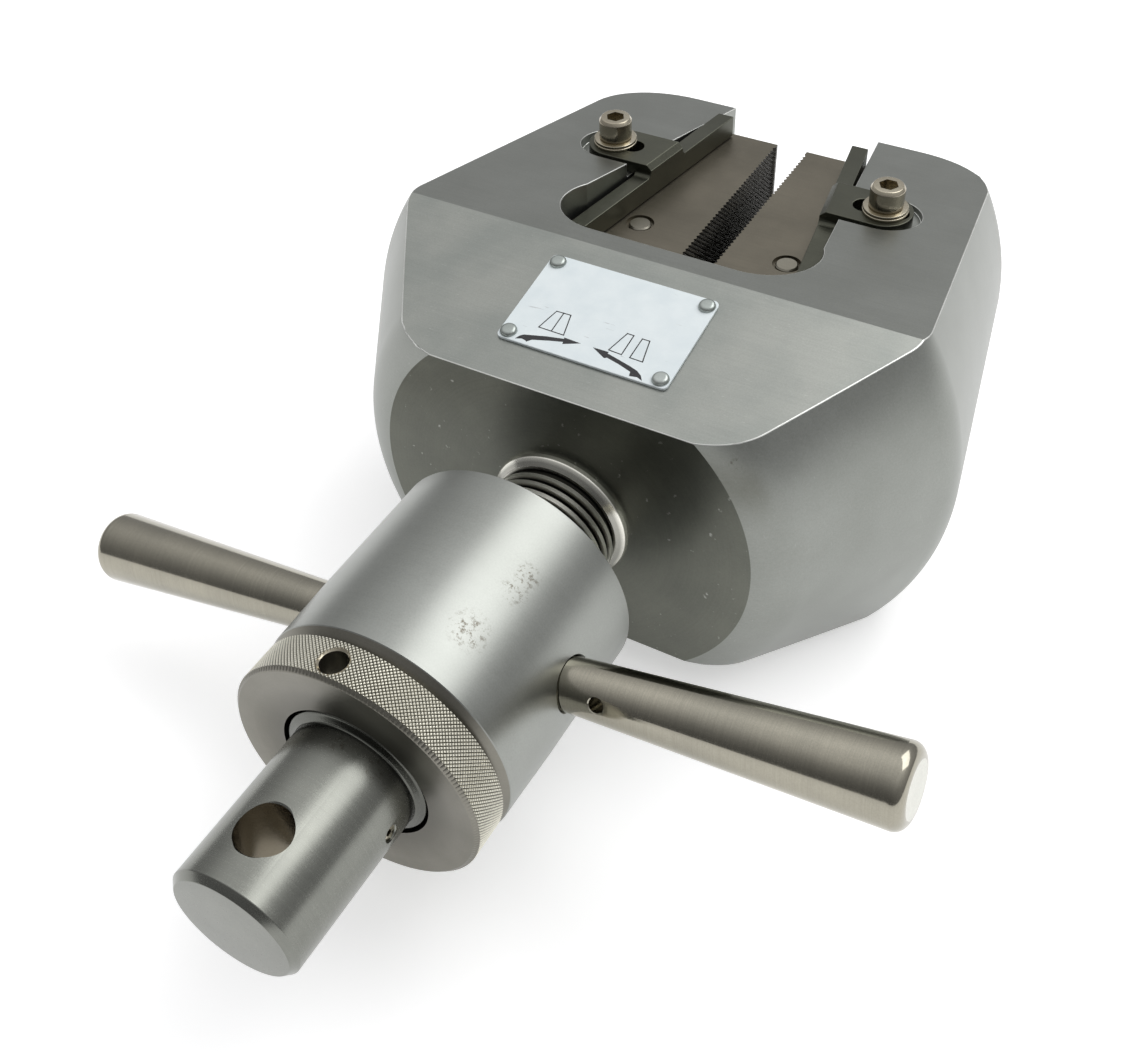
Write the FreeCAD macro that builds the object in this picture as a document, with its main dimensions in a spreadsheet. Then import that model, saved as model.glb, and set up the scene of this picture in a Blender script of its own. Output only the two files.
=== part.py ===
import FreeCAD, Part
import math
import os
import Sketcher

# Wedge grip for tensile tests, in millimetres and degrees.
# Every piece is drawn about the pull axis: X across the jaws, Y from the stem end to the jaw end
# and Z out of the front face. The placements then stand the grip on its flat back.

SIZES = {
    # Lengths along the pull axis, from the stem end to the jaw end
    "stem_length": 43,
    "stem_flange_length": 11,
    "collar_face_setback": 0.8,
    "knurl_width": 10.3,
    "collar_shoulder_width": 2.8,
    "collar_boss_length": 7.7,
    "barrel_length": 54.7,
    "neck_exposed": 24.3,
    "lower_cone_length": 48.5,
    "body_length": 154.7,
    # Stem, its cross pin hole and its lock screw
    "stem_radius": 15.875,
    "stem_edge_chamfer": 1.6,
    "clevis_hole_radius": 6.35,
    "clevis_hole_place": 15.1,
    "stem_flange_radius": 18.3,
    "stem_flange_edge": 0.8,
    "stem_socket_depth": 26,
    "lock_screw_place": 33.8,
    "lock_screw_radius": 1.9,
    "lock_screw_recess": 0.7,
    "lock_screw_hex_flats": 1.6,
    # Drawbar and its thrust bearings
    "drawbar_thread_radius": 9.5,
    "drawbar_thread_chamfer": 1,
    "drawbar_end_gap": 2,
    "thrust_flange_radius": 25,
    "thrust_flange_length": 6,
    "rod_radius": 10,
    "thrust_ring_inner_radius": 19.2,
    "thrust_ring_outer_radius": 25.3,
    "thrust_washer_thickness": 1,
    "needle_cage_thickness": 3,
    "crosshead_half_width": 27,
    "crosshead_half_thickness": 7,
    "crosshead_floor_gap": 5.5,
    "crosshead_above_pin": 10,
    "crosshead_chamfer": 5,
    # Lock collar
    "collar_radius": 32,
    "collar_edge_chamfer": 0.9,
    "collar_groove_depth": 1.8,
    "collar_groove_width": 0.8,
    "collar_bore_gap": 0.75,
    "collar_step_radius": 24,
    "collar_step_depth": 0.5,
    "collar_boss_radius": 28.5,
    "collar_hole_radius": 3.2,
    "collar_hole_depth": 6,
    "collar_hole_angle": 6,
    # Adjusting barrel and its two handles
    "barrel_radius": 32.6,
    "barrel_edge_chamfer": 0.6,
    "screwed_seat_gap": 0.1,
    "handle_place": 28,
    "handle_tilt": 9.16,
    "handle_reach": 112,
    "handle_root_radius": 6.5,
    "handle_end_radius": 9.6,
    "handle_end_rounding": 3,
    "handle_socket_depth": 11.5,
    "handle_socket_gap": 0.2,
    "cross_hole_place": 9.6,
    "cross_hole_radius": 1.85,
    "cross_hole_depth": 5,
    "cross_hole_angle": 64,
    # Grip body: neck, cones and flats
    "neck_thread_radius": 17.4625,
    "neck_thread_chamfer": 2,
    "neck_thread_length": 39,
    "thread_pitch": 2.8222,
    "neck_relief_radius": 15.9,
    "neck_ring_radius": 19.7,
    "neck_ring_rounding": 3.2,
    "thread_clearance": 0.15,
    "rod_clearance": 0.3,
    "base_disk_radius": 53,
    "base_cone_radius": 59.1,
    "base_arc_radius": 20,
    "widest_radius": 88,
    "widest_rounding": 14,
    "crown_radius": 68.2,
    "crown_rounding": 22.9,
    "axis_height": 48,
    "front_height_at_base": 38.8,
    "front_height_at_crown": 33,
    # Wedge pocket
    "pocket_depth": 98.5,
    "pocket_mouth_half_width": 23.3,
    "wedge_angle": 9,
    "pocket_lobe_radius": 16,
    "pocket_lobe_place": 21,
    "closing_travel": 21,
    # Jaws and their pins
    "jaw_half_gap": 4.75,
    "jaw_half_depth": 30,
    "jaw_back_clearance": 0.2,
    "jaw_wall_clearance": 0.1,
    "jaw_length": 71,
    "jaw_setback": 10,
    "jaw_heel_rounding": 6,
    "pin_from_grip_face": 17.85,
    "pin_from_heel": 14,
    "pin_radius": 3.175,
    "pin_clearance": 0.05,
    "pin_recess_radius": 4.05,
    "pin_recess_depth": 1,
    "fork_clearance": 0.3,
    # Jaw retainers with their screws and washers
    "retainer_width": 5,
    "retainer_wall_gap": 1,
    "retainer_lift": 0.3,
    "retainer_bar_height": 6.4,
    "retainer_bar_length": 73,
    "retainer_setback": 11.5,
    "tab_thickness": 3.7,
    "tab_half_width": 8,
    "tab_setback": 46,
    "tab_bevel": 1.6,
    "recess_clearance": 2.5,
    "tab_reach": 41.3,
    "slot_half_width": 3.4,
    "slot_inner_centre": 38,
    "screw_place": 41.6,
    "screw_shank_radius": 3.175,
    "screw_shank_length": 18,
    "screw_hole_extra_depth": 3,
    "screw_head_radius": 4.7625,
    "screw_head_height": 6.35,
    "screw_head_chamfer": 0.6,
    "screw_hex_flats": 4.7625,
    "screw_hex_depth": 3.2,
    "washer_radius": 6.35,
    "washer_thickness": 1.6,
    # Name plate and its four rivets
    "plate_half_width": 23.5,
    "plate_half_height": 15.3,
    "plate_corner_rounding": 1.5,
    "plate_thickness": 0.8,
    "plate_from_bend": 22.2,
    "rivet_from_side": 2.5,
    "rivet_from_edge": 2.5,
    "rivet_head_radius": 2.2,
    "rivet_head_height": 1.1,
    "rivet_shank_radius": 1.2,
    "rivet_shank_length": 4,
    "rivet_hole_gap": 0.05,
}

# Stations along the pull axis, from the stem end
FLANGE_END = "(dim.stem_length + dim.stem_flange_length)"
THRUST_END = f"({FLANGE_END} + dim.thrust_flange_length)"
THRUST_STACK = "(2 * dim.thrust_washer_thickness + dim.needle_cage_thickness)"
COLLAR_FACE = "(dim.stem_length - dim.collar_face_setback)"
COLLAR_FLOOR = f"({FLANGE_END} - {THRUST_STACK})"
BARREL_START = f"({COLLAR_FACE} + dim.knurl_width + dim.collar_shoulder_width)"
BARREL_SHOULDER = f"({THRUST_END} + {THRUST_STACK})"
BARREL_END = f"({BARREL_START} + dim.barrel_length)"
HANDLE_Y = f"({BARREL_START} + dim.handle_place)"
BODY_BASE = f"({BARREL_END} + dim.neck_exposed)"
BODY_BEND = f"({BODY_BASE} + dim.lower_cone_length)"
BODY_CROWN = f"({BODY_BASE} + dim.body_length)"
POCKET_FLOOR = f"({BODY_CROWN} - dim.pocket_depth)"
JAW_TOP = f"({BODY_CROWN} - dim.jaw_setback)"
JAW_HEEL = f"({JAW_TOP} - dim.jaw_length)"
PIN_Y = f"({JAW_HEEL} + dim.pin_from_heel)"
CROSSHEAD_START = f"({POCKET_FLOOR} + dim.crosshead_floor_gap)"
CROSSHEAD_END = f"({PIN_Y} + dim.crosshead_above_pin)"
TAB_Y = f"({BODY_CROWN} - dim.tab_setback)"

# Radii and heights that follow from the sizes
COLLAR_BORE = "(dim.stem_flange_radius + dim.collar_bore_gap)"
BEARING_BORE = "(dim.thrust_ring_outer_radius + 2 * dim.rod_clearance)"
ROD_BORE = "(dim.rod_radius + dim.rod_clearance)"
BARREL_BORE = "(dim.neck_thread_radius + dim.thread_clearance)"
THREAD_DEPTH = "(5 / 8 * cos(30) * dim.thread_pitch)"
PIN_X = "(dim.jaw_half_gap + dim.pin_from_grip_face)"
BAR_FLOOR = "(dim.jaw_half_depth + dim.retainer_lift)"
BAR_TOP = f"({BAR_FLOOR} + dim.retainer_bar_height)"
TAB_TOP = f"({BAR_TOP} + dim.tab_thickness)"
SCREW_IN_BODY = "(dim.screw_shank_length - dim.washer_thickness - dim.tab_thickness)"
LOWER_SLOPE = "((dim.axis_height - dim.front_height_at_base) / dim.lower_cone_length)"
PLATE_Y = f"({BODY_BEND} - dim.plate_from_bend)"
PLATE_Z = f"(dim.axis_height - dim.plate_from_bend * {LOWER_SLOPE})"

UP = FreeCAD.Vector(0, 0, 1)
ALONG = FreeCAD.Vector(0, 1, 0)
ACROSS = FreeCAD.Vector(1, 0, 0)
SIDES = ((1, "right"), (-1, "left"))

doc = FreeCAD.newDocument("tensile_test_grip")
sheet = doc.addObject("Spreadsheet::Sheet", "dim")
for row, (alias, size) in enumerate(SIZES.items(), start=1):
    sheet.set(f"A{row}", alias.replace("_", " "))
    sheet.set(f"B{row}", str(size))
    sheet.setAlias(f"B{row}", alias)
doc.recompute()

pieces = []


def wall_at(station):
    """Half width of the wedge pocket at a station along the pull axis."""
    return f"(dim.pocket_mouth_half_width + ({BODY_CROWN} - {station}) * tan(dim.wedge_angle))"


def size_of(text):
    """Number that a sheet expression stands for."""
    return float(sheet.evalExpression(text.replace("dim.", "")))


def piece(name, turned=False):
    """Start a named piece, placed on the pull axis; a turned one follows the handles' tilt."""
    body = doc.addObject("PartDesign::Body", name)
    body.Label = name
    if turned:
        body.Placement = FreeCAD.Placement(FreeCAD.Vector(), FreeCAD.Rotation(ALONG, -1))
        body.setExpression("Placement.Rotation.Angle", "-dim.handle_tilt")
    place(body, "0", "0", "0")
    pieces.append(body)
    return body


def place(body, x, y, z):
    """Stand a piece drawn at the origin at x, y, z about the pull axis."""
    body.setExpression("Placement.Base.x", x)
    body.setExpression("Placement.Base.y", f"{y} - {BODY_CROWN} / 2")
    body.setExpression("Placement.Base.z", f"{z} + dim.axis_height")


def sketch_on(body, plane, height="0"):
    """Open a sketch on one of the body's own planes, lifted along the plane's normal."""
    sketch = body.newObject("Sketcher::SketchObject", f"{body.Name}_sketch")
    support = next(part for part in body.Origin.OriginFeatures if part.Role == plane)
    sketch.AttachmentSupport = [(support, "")]
    sketch.MapMode = "FlatFace"
    sketch.setExpression("AttachmentOffset.Base.z", height)
    return sketch


def pin_down(sketch, geometry, corner, x, y):
    """Hold one point of a sketch at x, y of the sheet."""
    for kind, text in (("DistanceX", x), ("DistanceY", y)):
        number = sketch.addConstraint(Sketcher.Constraint(kind, -1, 1, geometry, corner, size_of(text)))
        sketch.setExpression(f"Constraints[{number}]", text)


def hold_radius(sketch, geometry, radius):
    """Bind an arc's or circle's radius to the sheet."""
    number = sketch.addConstraint(Sketcher.Constraint("Radius", geometry, size_of(radius)))
    sketch.setExpression(f"Constraints[{number}]", radius)


def add_circle(sketch, x, y, radius):
    """Draw a circle."""
    centre = FreeCAD.Vector(size_of(x), size_of(y), 0)
    number = sketch.addGeometry(Part.Circle(centre, UP, size_of(radius)))
    pin_down(sketch, number, 3, x, y)
    hold_radius(sketch, number, radius)


def rounded_corner(before, corner, after, radius):
    """Where a rounding leaves both lines, its centre, and whether it turns left."""
    back = (before - corner).normalize()
    ahead = (after - corner).normalize()
    half = back.getAngle(ahead) / 2
    reach = radius / math.tan(half)
    centre = corner + (back + ahead).normalize() * (radius / math.sin(half))
    turns_left = back.cross(ahead).z < 0
    return corner + back * reach, corner + ahead * reach, centre, turns_left


def add_outline(sketch, corners):
    """Draw a closed outline through corners of x, y and, where it is rounded, a radius."""
    count = len(corners)
    spots = [FreeCAD.Vector(size_of(corner[0]), size_of(corner[1]), 0) for corner in corners]
    starts = list(spots)
    ends = list(spots)
    arcs = {}
    for number, corner in enumerate(corners):
        if len(corner) == 3:
            radius = size_of(corner[2])
            found = rounded_corner(spots[number - 1], spots[number], spots[(number + 1) % count], radius)
            ends[number], starts[number], centre, turns_left = found
            first, last = (ends[number], starts[number]) if turns_left else (starts[number], ends[number])
            angles = [math.atan2(spot.y - centre.y, spot.x - centre.x) for spot in (first, last)]
            arcs[number] = (Part.ArcOfCircle(Part.Circle(centre, UP, radius), *angles), turns_left)
    base = sketch.GeometryCount
    for number in range(count):
        sketch.addGeometry(Part.LineSegment(starts[number], ends[(number + 1) % count]))
    for number, corner in enumerate(corners):
        line_in = base + (number - 1) % count
        line_out = base + number
        if number not in arcs:
            sketch.addConstraint(Sketcher.Constraint("Coincident", line_in, 2, line_out, 1))
            pin_down(sketch, line_out, 1, corner[0], corner[1])
            continue
        arc, turns_left = arcs[number]
        arc_number = sketch.addGeometry(arc)
        point_number = sketch.addGeometry(Part.Point(spots[number]), True)
        entry, leave = (1, 2) if turns_left else (2, 1)
        sketch.addConstraint(Sketcher.Constraint("Tangent", line_in, 2, arc_number, entry))
        sketch.addConstraint(Sketcher.Constraint("Tangent", arc_number, leave, line_out, 1))
        sketch.addConstraint(Sketcher.Constraint("PointOnObject", point_number, 1, line_in))
        sketch.addConstraint(Sketcher.Constraint("PointOnObject", point_number, 1, line_out))
        hold_radius(sketch, arc_number, corner[2])
        pin_down(sketch, point_number, 1, corner[0], corner[1])


def add_slot(sketch, first_x, last_x, y, radius):
    """Draw a slot with round ends that runs along x."""
    near, far = sorted((first_x, last_x), key=size_of)
    reach = size_of(radius)
    left = FreeCAD.Vector(size_of(near), size_of(y), 0)
    right = FreeCAD.Vector(size_of(far), size_of(y), 0)
    lift = FreeCAD.Vector(0, reach, 0)
    quarter = math.pi / 2
    base = sketch.GeometryCount
    sketch.addGeometry(Part.LineSegment(left - lift, right - lift))
    sketch.addGeometry(Part.ArcOfCircle(Part.Circle(right, UP, reach), -quarter, quarter))
    sketch.addGeometry(Part.LineSegment(right + lift, left + lift))
    sketch.addGeometry(Part.ArcOfCircle(Part.Circle(left, UP, reach), quarter, 3 * quarter))
    for step in range(4):
        sketch.addConstraint(Sketcher.Constraint("Tangent", base + step, 2, base + (step + 1) % 4, 1))
    pin_down(sketch, base + 1, 3, far, y)
    pin_down(sketch, base + 3, 3, near, y)
    hold_radius(sketch, base + 1, radius)
    hold_radius(sketch, base + 3, radius)


def revolve(body, sketch, axis="V_Axis"):
    """Turn a sketch once round."""
    turn = body.newObject("PartDesign::Revolution", f"{body.Name}_turn")
    turn.Profile = sketch
    turn.ReferenceAxis = (sketch, [axis])
    turn.Angle = 360
    return turn


def extrude(body, kind, sketch, length, both_ways=False, along_normal=True):
    """Pad or pocket a sketch by a length, along its normal, against it or half each way."""
    feature = body.newObject(f"PartDesign::{kind}", f"{body.Name}_{kind.lower()}")
    feature.Profile = sketch
    feature.setExpression("Length", length)
    feature.SideType = "Symmetric" if both_ways else "One side"
    feature.Reversed = along_normal == (kind == "Pocket") and not both_ways
    return feature


def edges_where(feature, test):
    """Names of the straight edges whose two ends both pass a test."""
    doc.recompute()
    names = []
    for number, edge in enumerate(feature.Shape.Edges, start=1):
        if len(edge.Vertexes) == 2 and all(test(vertex.Point) for vertex in edge.Vertexes):
            names.append(f"Edge{number}")
    return names


def ring(name, inner, outer, start, length, turned):
    """A flat ring about the pull axis."""
    body = piece(name, turned)
    sketch = sketch_on(body, "XY_Plane")
    finish = f"({start} + {length})"
    add_outline(sketch, ((inner, start), (outer, start), (outer, finish), (inner, finish)))
    revolve(body, sketch)


def hexagon(flats):
    """Corners of a hexagon about the origin with its flats this far apart."""
    corners = []
    for step in range(6):
        corners.append((f"{flats} / sqrt(3) * cos({60 * step})", f"{flats} / sqrt(3) * sin({60 * step})"))
    return corners


def make_stem():
    """Stem with its flange, cross pin hole, lock screw hole and the socket for the drawbar."""
    body = piece("stem")
    sketch = sketch_on(body, "XY_Plane")
    socket_end = f"({FLANGE_END} - dim.stem_socket_depth)"
    add_outline(sketch, (
        ("0", "0"),
        ("dim.stem_radius - dim.stem_edge_chamfer", "0"),
        ("dim.stem_radius", "dim.stem_edge_chamfer"),
        ("dim.stem_radius", "dim.stem_length"),
        ("dim.stem_flange_radius", "dim.stem_length", "dim.stem_flange_edge"),
        ("dim.stem_flange_radius", FLANGE_END),
        ("dim.drawbar_thread_radius", FLANGE_END),
        ("dim.drawbar_thread_radius", socket_end),
        ("0", socket_end)))
    revolve(body, sketch)
    clevis = sketch_on(body, "XY_Plane")
    add_circle(clevis, "0", "dim.clevis_hole_place", "dim.clevis_hole_radius")
    extrude(body, "Pocket", clevis, "4 * dim.stem_radius", both_ways=True)
    lock = sketch_on(body, "YZ_Plane")
    add_circle(lock, "dim.lock_screw_place", "0", "dim.lock_screw_radius")
    extrude(body, "Pocket", lock, "2 * dim.stem_radius")


def make_stem_lock_screw():
    """Small socket set screw that locks the stem on the drawbar."""
    body = piece("stem_set_screw")
    place(body, "dim.drawbar_thread_radius", "dim.lock_screw_place", "0")
    length = "(dim.stem_radius - dim.lock_screw_recess - dim.drawbar_thread_radius)"
    sketch = sketch_on(body, "YZ_Plane")
    add_circle(sketch, "0", "0", "dim.lock_screw_radius")
    extrude(body, "Pad", sketch, length)
    socket = sketch_on(body, "YZ_Plane", length)
    add_outline(socket, hexagon("dim.lock_screw_hex_flats"))
    extrude(body, "Pocket", socket, f"{length} / 3", along_normal=False)


def make_drawbar():
    """Drawbar: threaded end, thrust flange, rod and the crosshead that carries the jaw pins."""
    body = piece("drawbar")
    sketch = sketch_on(body, "XY_Plane")
    thread_start = f"({FLANGE_END} - dim.stem_socket_depth + dim.drawbar_end_gap)"
    rod_end = f"({CROSSHEAD_START} + dim.crosshead_chamfer)"
    add_outline(sketch, (
        ("0", thread_start),
        ("dim.drawbar_thread_radius - dim.drawbar_thread_chamfer", thread_start),
        ("dim.drawbar_thread_radius", f"{thread_start} + dim.drawbar_thread_chamfer"),
        ("dim.drawbar_thread_radius", FLANGE_END),
        ("dim.thrust_flange_radius", FLANGE_END),
        ("dim.thrust_flange_radius", THRUST_END),
        ("dim.rod_radius", THRUST_END),
        ("dim.rod_radius", rod_end),
        ("0", rod_end)))
    revolve(body, sketch)
    plate = sketch_on(body, "XY_Plane")
    wide = "dim.crosshead_half_width"
    narrow = "(dim.crosshead_half_width - dim.crosshead_chamfer)"
    add_outline(plate, (
        (f"-{narrow}", CROSSHEAD_START),
        (narrow, CROSSHEAD_START),
        (wide, rod_end),
        (wide, CROSSHEAD_END),
        (f"-{wide}", CROSSHEAD_END),
        (f"-{wide}", rod_end)))
    extrude(body, "Pad", plate, "2 * dim.crosshead_half_thickness", both_ways=True)
    slots = sketch_on(body, "XY_Plane")
    travel = "dim.closing_travel * tan(dim.wedge_angle)"
    half = "(dim.pin_radius + dim.fork_clearance)"
    inner = f"({PIN_X} - {travel} - {half})"
    outer = f"({wide} + dim.fork_clearance)"
    for side, _ in SIDES:
        add_outline(slots, (
            (f"{side} * {inner}", f"{PIN_Y} - {half}"),
            (f"{side} * {outer}", f"{PIN_Y} - {half}"),
            (f"{side} * {outer}", f"{PIN_Y} + {half}"),
            (f"{side} * {inner}", f"{PIN_Y} + {half}")))
    extrude(body, "Pocket", slots, "4 * dim.crosshead_half_thickness", both_ways=True)


def make_thrust_bearings():
    """Needle thrust bearings on both sides of the drawbar's flange."""
    inner = "dim.thrust_ring_inner_radius"
    outer = "dim.thrust_ring_outer_radius"
    washer = "dim.thrust_washer_thickness"
    cage = "dim.needle_cage_thickness"
    ring("collar_thrust_washer", inner, outer, COLLAR_FLOOR, washer, True)
    ring("lower_needle_cage", inner, outer, f"({COLLAR_FLOOR} + {washer})", cage, True)
    ring("lower_flange_washer", inner, outer, f"({FLANGE_END} - {washer})", washer, False)
    ring("upper_flange_washer", inner, outer, THRUST_END, washer, False)
    ring("upper_needle_cage", inner, outer, f"({THRUST_END} + {washer})", cage, True)
    ring("barrel_thrust_washer", inner, outer, f"({BARREL_SHOULDER} - {washer})", washer, True)


def make_lock_collar():
    """Knurled collar with a bevelled shoulder, which closes the barrel over the bearings."""
    body = piece("lock_collar", turned=True)
    sketch = sketch_on(body, "XY_Plane")
    knurl_end = f"{COLLAR_FACE} + dim.knurl_width"
    boss_end = f"({BARREL_START} + dim.collar_boss_length)"
    add_outline(sketch, (
        (COLLAR_BORE, f"{COLLAR_FACE} + dim.collar_step_depth"),
        ("dim.collar_step_radius", f"{COLLAR_FACE} + dim.collar_step_depth"),
        ("dim.collar_step_radius", COLLAR_FACE),
        ("dim.collar_radius - dim.collar_edge_chamfer", COLLAR_FACE),
        ("dim.collar_radius", f"{COLLAR_FACE} + dim.collar_edge_chamfer"),
        ("dim.collar_radius", knurl_end),
        ("dim.collar_radius - dim.collar_groove_depth", knurl_end),
        ("dim.collar_radius - dim.collar_groove_depth", f"{knurl_end} + dim.collar_groove_width"),
        ("dim.barrel_radius - dim.barrel_edge_chamfer", BARREL_START),
        ("dim.collar_boss_radius", BARREL_START),
        ("dim.collar_boss_radius", boss_end),
        (BEARING_BORE, boss_end),
        (BEARING_BORE, COLLAR_FLOOR),
        (COLLAR_BORE, COLLAR_FLOOR)))
    revolve(body, sketch)
    # The spanner hole stands near the top of the grip whatever the tilt of the handles
    hole = sketch_on(body, "XY_Plane")
    angle = "(dim.handle_tilt - dim.collar_hole_angle)"
    depth = "(dim.collar_radius - dim.collar_hole_depth)"
    hole.AttachmentOffset = FreeCAD.Placement(FreeCAD.Vector(), FreeCAD.Rotation(ALONG, 1))
    hole.setExpression("AttachmentOffset.Base.x", f"{depth} * sin{angle}")
    hole.setExpression("AttachmentOffset.Base.z", f"{depth} * cos{angle}")
    hole.setExpression("AttachmentOffset.Rotation.Angle", angle)
    add_circle(hole, "0", f"{COLLAR_FACE} + dim.knurl_width / 2", "dim.collar_hole_radius")
    extrude(body, "Pocket", hole, "2 * dim.collar_hole_depth")


def make_barrel():
    """Adjusting barrel: bearing bore, screwed bore for the neck and two handle sockets."""
    body = piece("adjusting_barrel", turned=True)
    sketch = sketch_on(body, "XY_Plane")
    boss_bore = "(dim.collar_boss_radius + dim.screwed_seat_gap)"
    boss_end = f"({BARREL_START} + dim.collar_boss_length + dim.rod_clearance)"
    edge = "dim.barrel_edge_chamfer"
    add_outline(sketch, (
        (boss_bore, BARREL_START),
        (f"dim.barrel_radius - {edge}", BARREL_START),
        ("dim.barrel_radius", f"{BARREL_START} + {edge}"),
        ("dim.barrel_radius", f"{BARREL_END} - {edge}"),
        (f"dim.barrel_radius - {edge}", BARREL_END),
        (BARREL_BORE, BARREL_END),
        (BARREL_BORE, BARREL_SHOULDER),
        (BEARING_BORE, BARREL_SHOULDER),
        (BEARING_BORE, boss_end),
        (boss_bore, boss_end)))
    revolve(body, sketch)
    socket = "(dim.handle_root_radius + dim.handle_socket_gap)"
    floor = "(dim.barrel_radius - dim.handle_socket_depth)"
    for side, _ in SIDES:
        hole = sketch_on(body, "YZ_Plane", f"{side} * {floor}")
        add_circle(hole, HANDLE_Y, "0", socket)
        extrude(body, "Pocket", hole, "2 * dim.handle_socket_depth", along_normal=side > 0)


def make_handles():
    """Two tapered handles, thicker at the hand end; the right one has a small cross hole."""
    root = "(dim.barrel_radius - dim.handle_socket_depth)"
    for side, name in SIDES:
        body = piece(f"{name}_handle", turned=True)
        place(body, "0", HANDLE_Y, "0")
        sketch = sketch_on(body, "XY_Plane")
        add_outline(sketch, (
            (f"{side} * {root}", "0"),
            (f"{side} * {root}", "dim.handle_root_radius"),
            (f"{side} * dim.barrel_radius", "dim.handle_root_radius"),
            (f"{side} * dim.handle_reach", "dim.handle_end_radius", "dim.handle_end_rounding"),
            (f"{side} * dim.handle_reach", "0")))
        revolve(body, sketch, "H_Axis")
        if side > 0:
            hole = sketch_on(body, "XY_Plane")
            hole.AttachmentOffset = FreeCAD.Placement(FreeCAD.Vector(), FreeCAD.Rotation(ACROSS, 1))
            hole.setExpression("AttachmentOffset.Rotation.Angle", "dim.cross_hole_angle")
            floor = "(dim.handle_root_radius - dim.cross_hole_depth)"
            hole.setExpression("AttachmentOffset.Base.y", f"-{floor} * sin(dim.cross_hole_angle)")
            hole.setExpression("AttachmentOffset.Base.z", f"{floor} * cos(dim.cross_hole_angle)")
            add_circle(hole, "dim.barrel_radius + dim.cross_hole_place", "0", "dim.cross_hole_radius")
            extrude(body, "Pocket", hole, "2 * dim.handle_end_radius")


def turned_body(body):
    """The body of revolution: threaded neck, base disk, two cones and the rounded crown."""
    sketch = sketch_on(body, "XY_Plane")
    neck_start = f"({BODY_BASE} - dim.neck_ring_rounding - dim.neck_thread_length)"
    neck_end = f"({BODY_BASE} - dim.neck_ring_rounding)"
    relief_start = f"({neck_end} - dim.neck_ring_rounding / 2)"
    add_outline(sketch, (
        (ROD_BORE, neck_start),
        ("dim.neck_thread_radius - dim.neck_thread_chamfer", neck_start),
        ("dim.neck_thread_radius", f"{neck_start} + dim.neck_thread_chamfer"),
        ("dim.neck_thread_radius", relief_start),
        ("dim.neck_relief_radius", f"{neck_end} - dim.neck_ring_rounding / 4"),
        ("dim.neck_relief_radius", f"{neck_end} + dim.neck_ring_rounding / 4"),
        ("dim.neck_ring_radius", BODY_BASE),
        ("dim.base_cone_radius", BODY_BASE),
        ("dim.widest_radius", BODY_BEND, "dim.widest_rounding"),
        ("dim.crown_radius", BODY_CROWN, "dim.crown_rounding"),
        (ROD_BORE, BODY_CROWN)))
    revolve(body, sketch)


def cut_neck_thread(body):
    """Coarse right-handed thread along the neck; it runs out into the relief below the ring."""
    start = f"({BODY_BASE} - dim.neck_ring_rounding - dim.neck_thread_length)"
    root_half = "(dim.thread_pitch / 8)"
    proud = "(dim.thread_pitch / 16)"
    mouth_half = f"({root_half} + ({THREAD_DEPTH} + {proud}) * tan(30))"
    middle = f"({start} - dim.thread_pitch)"
    sketch = sketch_on(body, "XY_Plane")
    add_outline(sketch, (
        (f"dim.neck_thread_radius - {THREAD_DEPTH}", f"{middle} - {root_half}"),
        (f"dim.neck_thread_radius + {proud}", f"{middle} - {mouth_half}"),
        (f"dim.neck_thread_radius + {proud}", f"{middle} + {mouth_half}"),
        (f"dim.neck_thread_radius - {THREAD_DEPTH}", f"{middle} + {root_half}")))
    helix = body.newObject("PartDesign::SubtractiveHelix", "grip_body_thread")
    helix.Profile = sketch
    helix.ReferenceAxis = (sketch, ["V_Axis"])
    helix.Mode = "pitch-height-angle"
    helix.setExpression("Pitch", "dim.thread_pitch")
    helix.setExpression("Height", "dim.neck_thread_length + dim.thread_pitch")


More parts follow.
